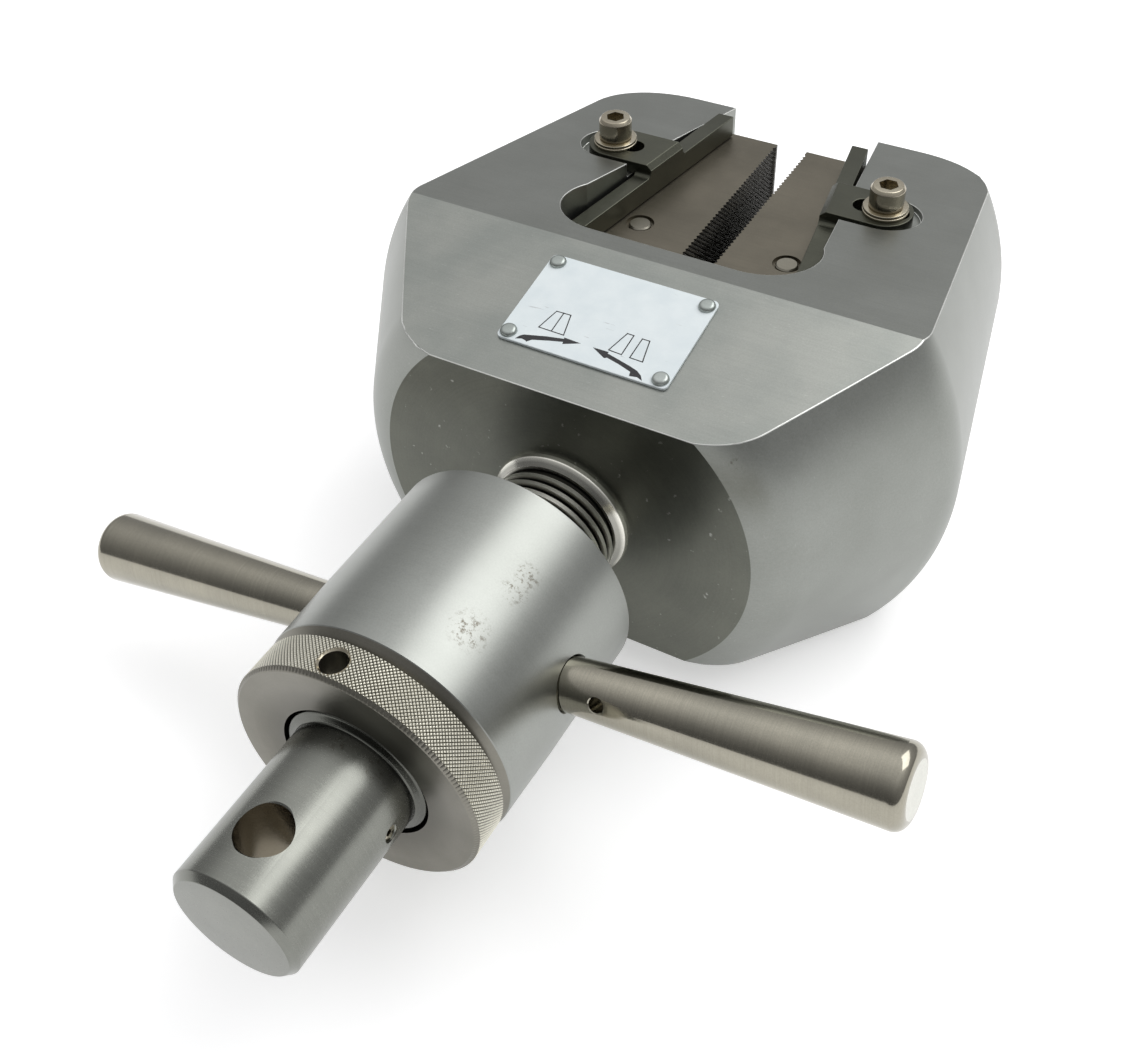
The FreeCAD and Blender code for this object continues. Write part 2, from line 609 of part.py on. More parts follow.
def round_the_base(body):
    """Arc from the base disk's edge into the lower cone, which it meets smoothly."""
    cone = "atan((dim.widest_radius - dim.base_cone_radius) / dim.lower_cone_length)"
    # Along the cone from its own corner to where the arc leaves it, and the arc's centre
    lip = "(dim.base_cone_radius - dim.base_disk_radius)"
    drop = f"(dim.base_arc_radius - {lip} * cos({cone}))"
    along = f"(sqrt(dim.base_arc_radius ^ 2 - {drop} ^ 2) - {lip} * sin({cone}))"
    leave_x = f"(dim.base_cone_radius + {along} * sin({cone}))"
    leave_y = f"({BODY_BASE} + {along} * cos({cone}))"
    sketch = sketch_on(body, "XY_Plane")
    disk = FreeCAD.Vector(size_of("dim.base_disk_radius"), size_of(BODY_BASE), 0)
    corner = FreeCAD.Vector(size_of("dim.base_cone_radius"), size_of(BODY_BASE), 0)
    leave = FreeCAD.Vector(size_of(leave_x), size_of(leave_y), 0)
    centre_x = f"({leave_x} - dim.base_arc_radius * cos({cone}))"
    centre_y = f"({leave_y} + dim.base_arc_radius * sin({cone}))"
    centre = FreeCAD.Vector(size_of(centre_x), size_of(centre_y), 0)
    first, last = (math.atan2(spot.y - centre.y, spot.x - centre.x) for spot in (disk, leave))
    sketch.addGeometry(Part.LineSegment(disk, corner))
    sketch.addGeometry(Part.LineSegment(corner, leave))
    sketch.addGeometry(Part.ArcOfCircle(Part.Circle(centre, UP, size_of("dim.base_arc_radius")), first, last))
    sketch.addConstraint(Sketcher.Constraint("Coincident", 0, 2, 1, 1))
    sketch.addConstraint(Sketcher.Constraint("Coincident", 1, 2, 2, 2))
    sketch.addConstraint(Sketcher.Constraint("Coincident", 2, 1, 0, 1))
    pin_down(sketch, 0, 1, "dim.base_disk_radius", BODY_BASE)
    pin_down(sketch, 1, 1, "dim.base_cone_radius", BODY_BASE)
    pin_down(sketch, 1, 2, leave_x, leave_y)
    hold_radius(sketch, 2, "dim.base_arc_radius")
    groove = body.newObject("PartDesign::Groove", "grip_body_groove")
    groove.Profile = sketch
    groove.ReferenceAxis = (sketch, ["V_Axis"])
    groove.Angle = 360


def cut_flats(body):
    """Front and back faces: both slope on the lower cone, then the back runs level."""
    sketch = sketch_on(body, "YZ_Plane")
    beyond = "(dim.widest_radius + 1)"
    for side in (1, -1):
        crown_height = "dim.front_height_at_crown" if side > 0 else "dim.axis_height"
        add_outline(sketch, (
            (BODY_BASE, f"{side} * dim.front_height_at_base"),
            (BODY_BEND, f"{side} * dim.axis_height"),
            (BODY_CROWN, f"{side} * {crown_height}"),
            (BODY_CROWN, f"{side} * {beyond}"),
            (BODY_BASE, f"{side} * {beyond}")))
    extrude(body, "Pocket", sketch, "4 * dim.widest_radius", both_ways=True)


def cut_wedge_pocket(body):
    """Pocket open to the front and the crown, with sloping walls and two round lobes below."""
    floor = "-(dim.jaw_half_depth + dim.jaw_back_clearance)"
    height = "(dim.jaw_half_depth + dim.jaw_back_clearance + 2 * dim.axis_height)"
    lobe_y = f"({POCKET_FLOOR} + dim.pocket_lobe_radius)"
    wedge = sketch_on(body, "XY_Plane", floor)
    add_outline(wedge, (
        (f"-{wall_at(lobe_y)}", lobe_y),
        (wall_at(lobe_y), lobe_y),
        ("dim.pocket_mouth_half_width", BODY_CROWN),
        ("-dim.pocket_mouth_half_width", BODY_CROWN)))
    extrude(body, "Pocket", wedge, height)
    lobes = sketch_on(body, "XY_Plane", floor)
    add_slot(lobes, "-dim.pocket_lobe_place", "dim.pocket_lobe_place", lobe_y, "dim.pocket_lobe_radius")
    extrude(body, "Pocket", lobes, height)


def cut_retainer_seats(body):
    """Round-ended recess and threaded hole for each jaw retainer."""
    recess = sketch_on(body, "XY_Plane", BAR_TOP)
    for side, _ in SIDES:
        add_slot(recess, f"{side} * dim.pocket_mouth_half_width", f"{side} * dim.tab_reach", TAB_Y,
                 "dim.tab_half_width + dim.recess_clearance")
    extrude(body, "Pocket", recess, "2 * dim.axis_height")
    holes = sketch_on(body, "XY_Plane", BAR_TOP)
    for side, _ in SIDES:
        add_circle(holes, f"{side} * dim.screw_place", TAB_Y, "dim.screw_shank_radius")
    extrude(body, "Pocket", holes, f"{SCREW_IN_BODY} + dim.screw_hole_extra_depth", along_normal=False)


def make_grip_body():
    """Grip body: one forging, turned with its neck, then faced and milled."""
    body = piece("grip_body")
    turned_body(body)
    cut_neck_thread(body)
    round_the_base(body)
    cut_flats(body)
    cut_wedge_pocket(body)
    cut_retainer_seats(body)
    holes = sketch_on(body, "XY_Plane")
    holes.AttachmentOffset = FreeCAD.Placement(FreeCAD.Vector(), FreeCAD.Rotation(ACROSS, 1))
    holes.setExpression("AttachmentOffset.Base.y", PLATE_Y)
    holes.setExpression("AttachmentOffset.Base.z", PLATE_Z)
    holes.setExpression("AttachmentOffset.Rotation.Angle", f"atan({LOWER_SLOPE})")
    for x, y in rivet_spots():
        add_circle(holes, x, y, "dim.rivet_shank_radius + dim.rivet_hole_gap")
    extrude(body, "Pocket", holes, "dim.rivet_shank_length", along_normal=False)


def make_jaws():
    """Two wedge jaws: flat grip face, sloping back, forked heel and a cross hole for the pin."""
    for side, name in SIDES:
        body = piece(f"{name}_jaw")
        sketch = sketch_on(body, "XY_Plane")
        heel = f"({wall_at(JAW_HEEL)} - dim.jaw_wall_clearance)"
        toe = f"({wall_at(JAW_TOP)} - dim.jaw_wall_clearance)"
        add_outline(sketch, (
            (f"{side} * dim.jaw_half_gap", JAW_HEEL),
            (f"{side} * {heel}", JAW_HEEL, "dim.jaw_heel_rounding"),
            (f"{side} * {toe}", JAW_TOP),
            (f"{side} * dim.jaw_half_gap", JAW_TOP)))
        extrude(body, "Pad", sketch, "2 * dim.jaw_half_depth", both_ways=True)
        fork = sketch_on(body, "YZ_Plane")
        half = "(dim.crosshead_half_thickness + dim.fork_clearance)"
        fork_end = f"({CROSSHEAD_END} + dim.fork_clearance)"
        add_outline(fork, (
            (JAW_HEEL, f"-{half}"), (fork_end, f"-{half}"), (fork_end, half), (JAW_HEEL, half)))
        extrude(body, "Pocket", fork, "4 * dim.widest_radius", both_ways=True)
        bore = sketch_on(body, "XY_Plane")
        add_circle(bore, f"{side} * {PIN_X}", PIN_Y, "dim.pin_radius + dim.pin_clearance")
        extrude(body, "Pocket", bore, "4 * dim.jaw_half_depth", both_ways=True)
        for face in (1, -1):
            recess = sketch_on(body, "XY_Plane", f"{face} * (dim.jaw_half_depth - dim.pin_recess_depth)")
            add_circle(recess, f"{side} * {PIN_X}", PIN_Y, "dim.pin_recess_radius")
            extrude(body, "Pocket", recess, "2 * dim.pin_recess_depth", along_normal=face > 0)


def make_jaw_pins():
    """Plain pins that hang the jaws on the crosshead."""
    for side, name in SIDES:
        body = piece(f"{name}_jaw_pin")
        place(body, f"{side} * {PIN_X}", PIN_Y, "0")
        sketch = sketch_on(body, "XY_Plane")
        add_circle(sketch, "0", "0", "dim.pin_radius")
        extrude(body, "Pad", sketch, "2 * dim.jaw_half_depth", both_ways=True)


def make_retainers():
    """Bars over the jaws, each with a slotted tab that is screwed to the body."""
    bar_end = f"({BODY_CROWN} - dim.retainer_setback)"
    bar_start = f"({bar_end} - dim.retainer_bar_length)"
    tab_start = f"({TAB_Y} - dim.tab_half_width)"
    tab_end = f"({TAB_Y} + dim.tab_half_width)"
    for side, name in SIDES:
        body = piece(f"{name}_retainer")

        def outer(station):
            return f"{side} * ({wall_at(station)} - dim.retainer_wall_gap)"

        def inner(station):
            return f"{side} * ({wall_at(station)} - dim.retainer_wall_gap - dim.retainer_width)"

        bar = sketch_on(body, "XY_Plane", BAR_FLOOR)
        add_outline(bar, (
            (inner(bar_start), bar_start), (outer(bar_start), bar_start),
            (outer(bar_end), bar_end), (inner(bar_end), bar_end)))
        extrude(body, "Pad", bar, "dim.retainer_bar_height")
        tab = sketch_on(body, "XY_Plane", BAR_TOP)
        corner = f"{side} * (dim.tab_reach + dim.tab_half_width)"
        rounding = "0.98 * dim.tab_half_width"
        add_outline(tab, (
            (inner(tab_start), tab_start), (corner, tab_start, rounding),
            (corner, tab_end, rounding), (inner(tab_end), tab_end)))
        pad = extrude(body, "Pad", tab, "dim.tab_thickness")
        bevel_the_tab(body, pad, tab_start)
        slot = sketch_on(body, "XY_Plane", BAR_TOP)
        slot_end = f"{side} * (2 * dim.screw_place - dim.slot_inner_centre)"
        add_slot(slot, f"{side} * dim.slot_inner_centre", slot_end, TAB_Y, "dim.slot_half_width")
        extrude(body, "Pocket", slot, "2 * dim.tab_thickness")


def bevel_the_tab(body, pad, tab_start):
    """Bevel the tab's inner top edge."""
    top = size_of(TAB_TOP)
    inner_limit = size_of(f"{wall_at(tab_start)} - dim.retainer_wall_gap")

    def on_inner_edge(point):
        return abs(point.z - top) < 0.01 and abs(point.x) < inner_limit - 1

    chamfer = body.newObject("PartDesign::Chamfer", f"{body.Name}_bevel")
    chamfer.Base = (pad, edges_where(pad, on_inner_edge))
    chamfer.setExpression("Size", "dim.tab_bevel")


def make_retainer_screws():
    """Socket head screws and washers that clamp the retainers."""
    head = "dim.screw_head_radius"
    shank = "dim.screw_shank_radius"
    for side, name in SIDES:
        body = piece(f"{name}_retainer_washer")
        place(body, f"{side} * dim.screw_place", TAB_Y, TAB_TOP)
        sketch = sketch_on(body, "XY_Plane")
        add_circle(sketch, "0", "0", "dim.washer_radius")
        add_circle(sketch, "0", "0", f"{shank} + dim.screwed_seat_gap")
        extrude(body, "Pad", sketch, "dim.washer_thickness")
        body = piece(f"{name}_retainer_screw")
        place(body, f"{side} * dim.screw_place", TAB_Y, f"({TAB_TOP} + dim.washer_thickness)")
        sketch = sketch_on(body, "XZ_Plane")
        top = "dim.screw_head_height"
        add_outline(sketch, (
            ("0", "-dim.screw_shank_length"),
            (shank, "-dim.screw_shank_length"),
            (shank, "0"),
            (head, "0"),
            (head, f"{top} - dim.screw_head_chamfer"),
            (f"{head} - dim.screw_head_chamfer", top),
            ("0", top)))
        revolve(body, sketch)
        socket = sketch_on(body, "XY_Plane", top)
        add_outline(socket, hexagon("dim.screw_hex_flats"))
        extrude(body, "Pocket", socket, "dim.screw_hex_depth", along_normal=False)


def rivet_spots():
    """Places of the four rivets about the middle of the name plate."""
    x = "(dim.plate_half_width - dim.rivet_from_side)"
    y = "(dim.plate_half_height - dim.rivet_from_edge)"
    return [(f"{side} * {x}", f"{end} * {y}") for side in (1, -1) for end in (1, -1)]


def lean_on_lower_front(body, x="0", y="0"):
    """Lay a piece on the sloping lower front face, x and y from the name plate's middle."""
    body.Placement = FreeCAD.Placement(FreeCAD.Vector(), FreeCAD.Rotation(ACROSS, 1))
    body.setExpression("Placement.Rotation.Angle", f"atan({LOWER_SLOPE})")
    slope = f"atan({LOWER_SLOPE})"
    place(body, x, f"({PLATE_Y} + {y} * cos({slope}))", f"({PLATE_Z} + {y} * sin({slope}))")


def make_name_plate():
    """Thin plate with rounded corners on the lower front face, held by four domed rivets."""
    body = piece("name_plate")
    lean_on_lower_front(body)
    sketch = sketch_on(body, "XY_Plane")
    wide, high, rounding = "dim.plate_half_width", "dim.plate_half_height", "dim.plate_corner_rounding"
    add_outline(sketch, (
        (f"-{wide}", f"-{high}", rounding), (wide, f"-{high}", rounding),
        (wide, high, rounding), (f"-{wide}", high, rounding)))
    for x, y in rivet_spots():
        add_circle(sketch, x, y, "dim.rivet_shank_radius + dim.rivet_hole_gap")
    extrude(body, "Pad", sketch, "dim.plate_thickness")
    for number, (x, y) in enumerate(rivet_spots(), start=1):
        make_rivet(number, x, y)


def make_rivet(number, x, y):
    """Domed drive rivet with its shank through the plate into the body."""
    body = piece(f"plate_rivet_{number}")
    lean_on_lower_front(body, x, y)
    sketch = sketch_on(body, "XZ_Plane")
    seat = "dim.plate_thickness"
    top = "(dim.plate_thickness + dim.rivet_head_height)"
    tip = "-(dim.rivet_shank_length - 2 * dim.rivet_hole_gap)"
    add_outline(sketch, (
        ("0", tip),
        ("dim.rivet_shank_radius", tip),
        ("dim.rivet_shank_radius", seat),
        ("dim.rivet_head_radius", seat),
        ("dim.rivet_head_radius", top, "0.95 * dim.rivet_head_height"),
        ("0", top)))
    revolve(body, sketch)


def check_and_export():
    """Stop on any failed feature or broken solid, then write one file for each piece."""
    doc.recompute()
    for item in doc.Objects:
        if {"Invalid", "Error"} & set(item.State):
            raise RuntimeError(f"{item.Name} failed: {item.State}")
    os.makedirs("parts", exist_ok=True)
    for body in pieces:
        shape = body.Shape
        if shape.isNull() or not shape.isValid() or not shape.Solids:
            raise RuntimeError(f"{body.Label} has no valid solid")
        shape.exportStep(f"parts/{body.Label}.step")
        print(body.Label, len(shape.Solids), round(shape.Volume), [round(v, 1) for v in (
            shape.BoundBox.XMin, shape.BoundBox.YMin, shape.BoundBox.ZMin,
            shape.BoundBox.XMax, shape.BoundBox.YMax, shape.BoundBox.ZMax)])


make_grip_body()
make_stem()
make_stem_lock_screw()
make_drawbar()
make_thrust_bearings()
make_lock_collar()
make_barrel()
make_handles()
make_jaws()
make_jaw_pins()
make_retainers()
make_retainer_screws()
make_name_plate()
check_and_export()
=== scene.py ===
from math import atan2, cos, pi, radians, sin, tan, tau

import bpy
from mathutils import Matrix, Vector


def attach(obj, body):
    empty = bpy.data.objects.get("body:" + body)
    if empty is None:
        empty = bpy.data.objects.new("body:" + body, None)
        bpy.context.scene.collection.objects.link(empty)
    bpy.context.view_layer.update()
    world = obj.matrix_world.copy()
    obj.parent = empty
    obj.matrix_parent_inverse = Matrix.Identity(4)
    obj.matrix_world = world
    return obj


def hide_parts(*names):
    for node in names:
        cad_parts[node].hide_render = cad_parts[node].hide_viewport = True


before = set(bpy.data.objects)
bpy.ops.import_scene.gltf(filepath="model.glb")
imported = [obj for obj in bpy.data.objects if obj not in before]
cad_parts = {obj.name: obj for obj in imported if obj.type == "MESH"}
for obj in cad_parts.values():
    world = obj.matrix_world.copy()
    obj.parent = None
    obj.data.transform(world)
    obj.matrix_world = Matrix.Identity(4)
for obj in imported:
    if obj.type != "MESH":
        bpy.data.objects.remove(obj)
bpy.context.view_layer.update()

# Lengths are in millimetres from the stem's end and about the pull axis, as on a workshop drawing
MM = 0.001
WELD = MM / 1000
AXIS = Vector((0, -0.1445, 0.048))
ALONG = Vector((0, 1, 0))
ACROSS = Vector((1, 0, 0))
UP = Vector((0, 0, 1))
SIDES = ((1, "right"), (-1, "left"))

# Stations along the pull axis
BARREL_START, HANDLES, BARREL_END = 55.3, 83.3, 110
THREAD_START, THREAD_END = 92.1, 130.5
DISK, BEND, CROWN = 134.3, 182.8, 289
POCKET_FLOOR = 206.5
JAW_HEEL, JAW_PINS, JAW_TOE = 208, 222, 279
BAR_START, TAB_START, SCREWS, TAB_END, BAR_END = 204.5, 235, 243, 251, 277.5
PLATE_MIDDLE = 160.6

# Radii about the pull axis and heights above it
BORE, STEM, NECK, COLLAR, BARREL = 10.3, 15.875, 17.4625, 32, 32.6
DISK_RIM, CONE_FOOT, WIDEST, CROWN_RIM = 53, 59.1, 88, 68.2
HALF_BODY, FRONT_AT_DISK, FRONT_AT_CROWN = 48, 38.8, 33
POCKET_BACK, RECESS, TAB_TOP = -30.2, 36.7, 40.4
PLATE_HEIGHT = 43.789

# Sizes across and small parts
GRIP_FACE, PINS_ASIDE, SCREWS_ASIDE = 4.75, 22.6, 41.6
QUARTER_INCH = 3.175
JAW_DEPTH = 30
WASHER = 1.6
PITCH = 2.8222
TOOTH = 0.6

# Angles and the lengths that they are measured over
LOWER_CONE, UPPER_CONE = 48.5, 106.2
TILT = radians(9.16)
WEDGE = radians(9)
LOWER_SLOPE = atan2(HALF_BODY - FRONT_AT_DISK, LOWER_CONE)


def at(x, y, z=0):
    return AXIS + Vector((x, y, z)) * MM


def on_lower_front(x, y, z):
    """Place on the sloping front face, from the middle of the name plate."""
    run = y * cos(LOWER_SLOPE) - z * sin(LOWER_SLOPE)
    rise = y * sin(LOWER_SLOPE) + z * cos(LOWER_SLOPE)
    return at(x, PLATE_MIDDLE + run, PLATE_HEIGHT + rise)


def wall(station):
    """Half width of the wedge pocket at a station."""
    return 23.3 + (CROWN - station) * tan(WEDGE)


# Workshop moves

def only(piece):
    bpy.ops.object.select_all(action="DESELECT")
    piece.select_set(True)
    bpy.context.view_layer.objects.active = piece


def pick(piece, kind, test):
    """Open a piece for editing with only the vertices, edges or faces that pass a test."""
    only(piece)
    mesh = piece.data
    for parts in (mesh.vertices, mesh.edges, mesh.polygons):
        parts.foreach_set("select", [False] * len(parts))
    if kind == "VERT":
        for corner in mesh.vertices:
            corner.select = test(corner.co)
    elif kind == "EDGE":
        for edge in mesh.edges:
            edge.select = test(*(mesh.vertices[number].co for number in edge.vertices))
    else:
        for face in mesh.polygons:
            face.select = test(face.center, face.normal)
    bpy.ops.object.mode_set(mode="EDIT")
    bpy.ops.mesh.select_mode(type=kind)


def done():
    bpy.ops.object.mode_set(mode="OBJECT")


def close_up():
    """Weld the seam and the poles of the piece in hand and turn its faces outwards."""
    bpy.ops.mesh.select_all(action="SELECT")
    bpy.ops.mesh.remove_doubles(threshold=WELD)
    bpy.ops.mesh.normals_make_consistent(inside=False)
    done()


def rounded(*corners, steps=6):
    """Outline points; a corner with a third number is rounded to that radius."""
    spots = []
    for number, corner in enumerate(corners):
        here = Vector(corner[:2])
        if len(corner) < 3:
            spots.append(here)
            continue
        back = (Vector(corners[number - 1][:2]) - here).normalized()
        ahead = (Vector(corners[(number + 1) % len(corners)][:2]) - here).normalized()
        half = back.angle(ahead) / 2
        middle = here + (back + ahead).normalized() * corner[2] / sin(half)
        spoke = here + back * corner[2] / tan(half) - middle
        sweep = (pi - 2 * half) * (-1 if back.cross(ahead) > 0 else 1)
        for step in range(steps + 1):
            spots.append(middle + Matrix.Rotation(sweep * step / steps, 2) @ spoke)
    return spots


def slot_outline(first, last, y, radius, steps=24):
    """Outline of a round-ended slot along X."""
    spots = []
    for middle, start in ((last, -90), (first, 90)):
        for step in range(steps + 1):
            angle = radians(start + 180 * step / steps)
            spots.append(Vector((middle + radius * cos(angle), y + radius * sin(angle))))
    return spots


def draw_line(name, spots):
    """Draw a chain of edges through these places, starting from one point."""
    bpy.ops.object.select_all(action="DESELECT")
    bpy.ops.mesh.primitive_plane_add(size=MM, location=(0, 0, 0))
    piece = bpy.context.object
    piece.name = name
    bpy.ops.object.mode_set(mode="EDIT")
    bpy.ops.mesh.select_mode(type="VERT")
    bpy.ops.mesh.merge(type="CENTER")
    bpy.ops.transform.translate(value=spots[0])
    for here, there in zip(spots, spots[1:]):
        bpy.ops.mesh.extrude_region_move(TRANSFORM_OT_translate={"value": there - here})
    return piece


def turn(name, outline, steps=128, closed=False, centre=AXIS, axis=ALONG, side=ACROSS):
    """Turn an outline of radius and station about an axis, as on a lathe."""
    spots = [centre + (side * radius + axis * station) * MM for radius, station in outline]
    if closed:
        spots.append(spots[0])
    piece = draw_line(name, spots)
    bpy.ops.mesh.select_all(action="SELECT")
    bpy.ops.mesh.spin(steps=steps, angle=tau, center=centre, axis=axis)
    close_up()
    return piece


def slab(name, outline, low, high, place=at):
    """Cut a blank to an outline and give it its thickness between two heights."""
    piece = draw_line(name, [place(x, y, low) for x, y in outline])
    bpy.ops.mesh.select_all(action="SELECT")
    bpy.ops.mesh.edge_face_add()
    rise = place(0, 0, high) - place(0, 0, low)
    bpy.ops.mesh.extrude_region_move(TRANSFORM_OT_translate={"value": rise})
    close_up()
    return piece


def side_slab(name, outline, first, last):
    """A blank cut to a side view of station and height, wide from first to last across."""
    def place(station, height, across):
        return at(across, station, height)
    return slab(name, outline, first, last, place)


def drill(radius, mouth, floor, steps=64, chamfer=0.0):
    """Round cutter from above a mouth down to a floor, with a countersunk rim."""
    axis = (mouth - floor).normalized()
    side = axis.orthogonal().normalized()
    depth = (mouth - floor).length / MM
    rim, top = radius + chamfer, depth + 5
    outline = [(0, 0), (radius, 0), (radius, depth - chamfer), (rim, depth), (rim, top), (0, top)]
    return turn("drill", outline, steps=steps, centre=floor, axis=axis, side=side)


def combine(piece, other, operation):
    modifier = piece.modifiers.new("work", "BOOLEAN")
    modifier.solver = "EXACT"
    modifier.operation = operation
    modifier.object = other
    only(piece)
    bpy.ops.object.modifier_apply(modifier="work")
    bpy.data.objects.remove(other)


def cut(piece, *cutters):
    for cutter in cutters:
        combine(piece, cutter, "DIFFERENCE")


def break_edges(piece, width, angle=28, slot=-1):
    """Break every edge steeper than an angle; a slot gives the new faces their own surface."""
    modifier = piece.modifiers.new("edges", "BEVEL")
    modifier.width = width * MM
    modifier.segments = 2
    modifier.limit_method = "ANGLE"
    modifier.angle_limit = radians(angle)
    modifier.use_clamp_overlap = False
    modifier.miter_outer = "MITER_ARC"
    modifier.material = slot
    only(piece)
    bpy.ops.object.modifier_apply(modifier="edges")


def slice_off(piece, place, outwards):
    """Mill everything beyond a plane off a piece and leave a flat face."""
    pick(piece, "FACE", lambda middle, normal: True)
    bpy.ops.mesh.bisect(plane_co=place, plane_no=outwards.normalized(), use_fill=True,
                        clear_outer=True, threshold=WELD)
    done()


def tilt_with_handles(piece):
    """Turn a barrel piece about the pull axis to where the handles stand."""
    pick(piece, "VERT", lambda corner: True)
    bpy.ops.transform.rotate(value=TILT, orient_axis="Y", orient_type="GLOBAL",
                             center_override=AXIS)
    done()


def fit(piece, body, slot, material, *nodes, angle=28):
    """Give a finished piece its surface, its place in the mechanism and the node it stands for."""
    only(piece)
    bpy.ops.object.shade_smooth_by_angle(angle=radians(angle))
    if not piece.data.materials:
        piece.data.materials.append(material)
    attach(piece, body)
    if nodes:
        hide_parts(*nodes)


def finish_faces(piece, material, test):
    """Give the faces whose middle passes a test a finish of their own."""
    piece.data.materials.append(material)
    for face in piece.data.polygons:
        if test((face.center - AXIS) / MM):
            face.material_index = len(piece.data.materials) - 1


# Body

def body_outline():
    """Half section of the forging above its neck: disk, rounded rim, two cones and crown."""
    steps = 12
    rim_radius, rim_width = 20, 6.1
    cone = atan2(WIDEST - CONE_FOOT, LOWER_CONE)
    drop = rim_radius - rim_width * cos(cone)
    run = (rim_radius ** 2 - drop ** 2) ** 0.5 - rim_width * sin(cone)
    leave = Vector((CONE_FOOT + run * sin(cone), DISK + run * cos(cone)))
    centre = leave + Vector((-cos(cone), sin(cone))) * rim_radius
    first = atan2(DISK - centre.y, DISK_RIM - centre.x)
    last = atan2(leave.y - centre.y, leave.x - centre.x)
    rim = []
    for step in range(steps + 1):
        angle = first + (last - first) * step / steps
        rim.append(centre + Vector((cos(angle), sin(angle))) * rim_radius)
    upper = rounded((CONE_FOOT, DISK), (WIDEST, BEND, 14), (CROWN_RIM, CROWN, 22.9), (BORE, CROWN),
                    (BORE, DISK), steps=steps)
    return rim + upper[1:]


def mill_pocket(body):
    """Wedge pocket open to the front and the crown, with a round lobe each side of its floor."""
    past, above = 300, 100
    wedge = [(-wall(POCKET_FLOOR), POCKET_FLOOR), (wall(POCKET_FLOOR), POCKET_FLOOR),
             (wall(past), past), (-wall(past), past)]
    cut(body, slab("wedge", wedge, POCKET_BACK, above))
    lobes = slot_outline(-21, 21, POCKET_FLOOR, 16, steps=32)
    cut(body, slab("lobes", lobes, POCKET_BACK, above))
    for side, _ in SIDES:
        ends = sorted((side * 20, side * 41.3))
        cut(body, slab("seat", slot_outline(*ends, SCREWS, 10.5), RECESS, above))
        mouth = at(side * SCREWS_ASIDE, SCREWS, RECESS)
        cut(body, drill(QUARTER_INCH, mouth, at(side * SCREWS_ASIDE, SCREWS, 20), steps=32))


def make_body():
    """Turned forging with its front milled in two slopes and its back in a slope and a flat."""
    body = turn("body", body_outline(), steps=256, closed=True)
    lower, upper = FRONT_AT_DISK - HALF_BODY, HALF_BODY - FRONT_AT_CROWN
    slice_off(body, at(0, BEND, HALF_BODY), Vector((0, lower, LOWER_CONE)))
    slice_off(body, at(0, BEND, HALF_BODY), Vector((0, upper, UPPER_CONE)))
    slice_off(body, at(0, BEND, -HALF_BODY), Vector((0, lower, -LOWER_CONE)))
    slice_off(body, at(0, BEND, -HALF_BODY), -UP)
    mill_pocket(body)
    body.data.materials.append(body_steel)
    # slot 1 is a bright steel that paints a highlight along the broken edges
    body.data.materials.append(edge_highlight_steel)
    outside, short = 46 * MM, 0.3 * MM  # edges shorter than this would fold when they are broken
    pick(body, "VERT", lambda spot: (spot - AXIS).xz.length > outside)
    bpy.ops.mesh.remove_doubles(threshold=short)
    done()
    break_edges(body, 0.2, slot=1)
    fit(body, "grip_frame", "body_steel", body_steel, "grip_body", angle=9)

    def on_lower_slope(spot):
        height = HALF_BODY - (BEND - spot.y) * tan(LOWER_SLOPE)
        flush = abs(spot.z - height) < 0.01
        return flush and DISK + 0.2 < spot.y < BEND + 0.01 and abs(spot.x) < 58

    # the disk gets a darkened steel as painted shade
    finish_faces(body, disk_shaded_steel, lambda spot: spot.y < DISK + 0.01)
    # the lower front slope gets a lighter copy of the body steel as painted light
    finish_faces(body, slope_lit_steel, on_lower_slope)


def thread_groove():
    """Cutter for the neck's thread: the groove's section wound round the pull axis."""
    turns = 15
    first = THREAD_END - turns * PITCH
    floor, floor_half, mouth_half, outside = 16.1, 0.4, 0.82, 18.6
    section = ((floor, first - floor_half), (NECK, first - mouth_half),
               (outside, first - mouth_half), (outside, first + mouth_half),
               (NECK, first + mouth_half), (floor, first + floor_half), (floor, first - floor_half))
    groove = draw_line("groove", [at(*spot) for spot in section])
    close_up()
    bpy.context.scene.cursor.location = AXIS
    bpy.ops.object.origin_set(type="ORIGIN_CURSOR")
    sweep = groove.modifiers.new("sweep", "SCREW")
    sweep.axis = "Y"
    sweep.screw_offset = PITCH * MM
    sweep.iterations = turns
    sweep.steps = sweep.render_steps = 72
    sweep.use_merge_vertices = False
    bpy.ops.object.modifier_apply(modifier="sweep")
    bpy.ops.object.transform_apply(location=True, rotation=True, scale=True)
    pick(groove, "EDGE", lambda *ends: True)
    bpy.ops.mesh.fill_holes(sides=0)
    close_up()
    return groove


def make_neck():
    """Threaded neck with its relief and the bevelled ring at the disk."""
    relief, root = 16.2, 134.5
    outline = rounded((BORE, THREAD_START), (15.46, THREAD_START), (NECK, THREAD_START + 2),
                      (NECK, 129.8), (relief, 130.1), (relief, 131.2), (17.4, 131.4, 0.3),
                      (19.2, 133.1, 0.9), (19.4, root), (BORE, root))
    neck = turn("neck", outline, steps=144, closed=True)
    cut(neck, thread_groove())
    fit(neck, "grip_frame", "body_steel", neck_steel, "grip_body")
    # the ring's faces get a bright, glossy steel as a painted highlight, painted darker towards the
    # relief as shade
    finish_faces(neck, ring_highlight_steel, lambda spot: spot.y > 131.35)


# Stem and barrel

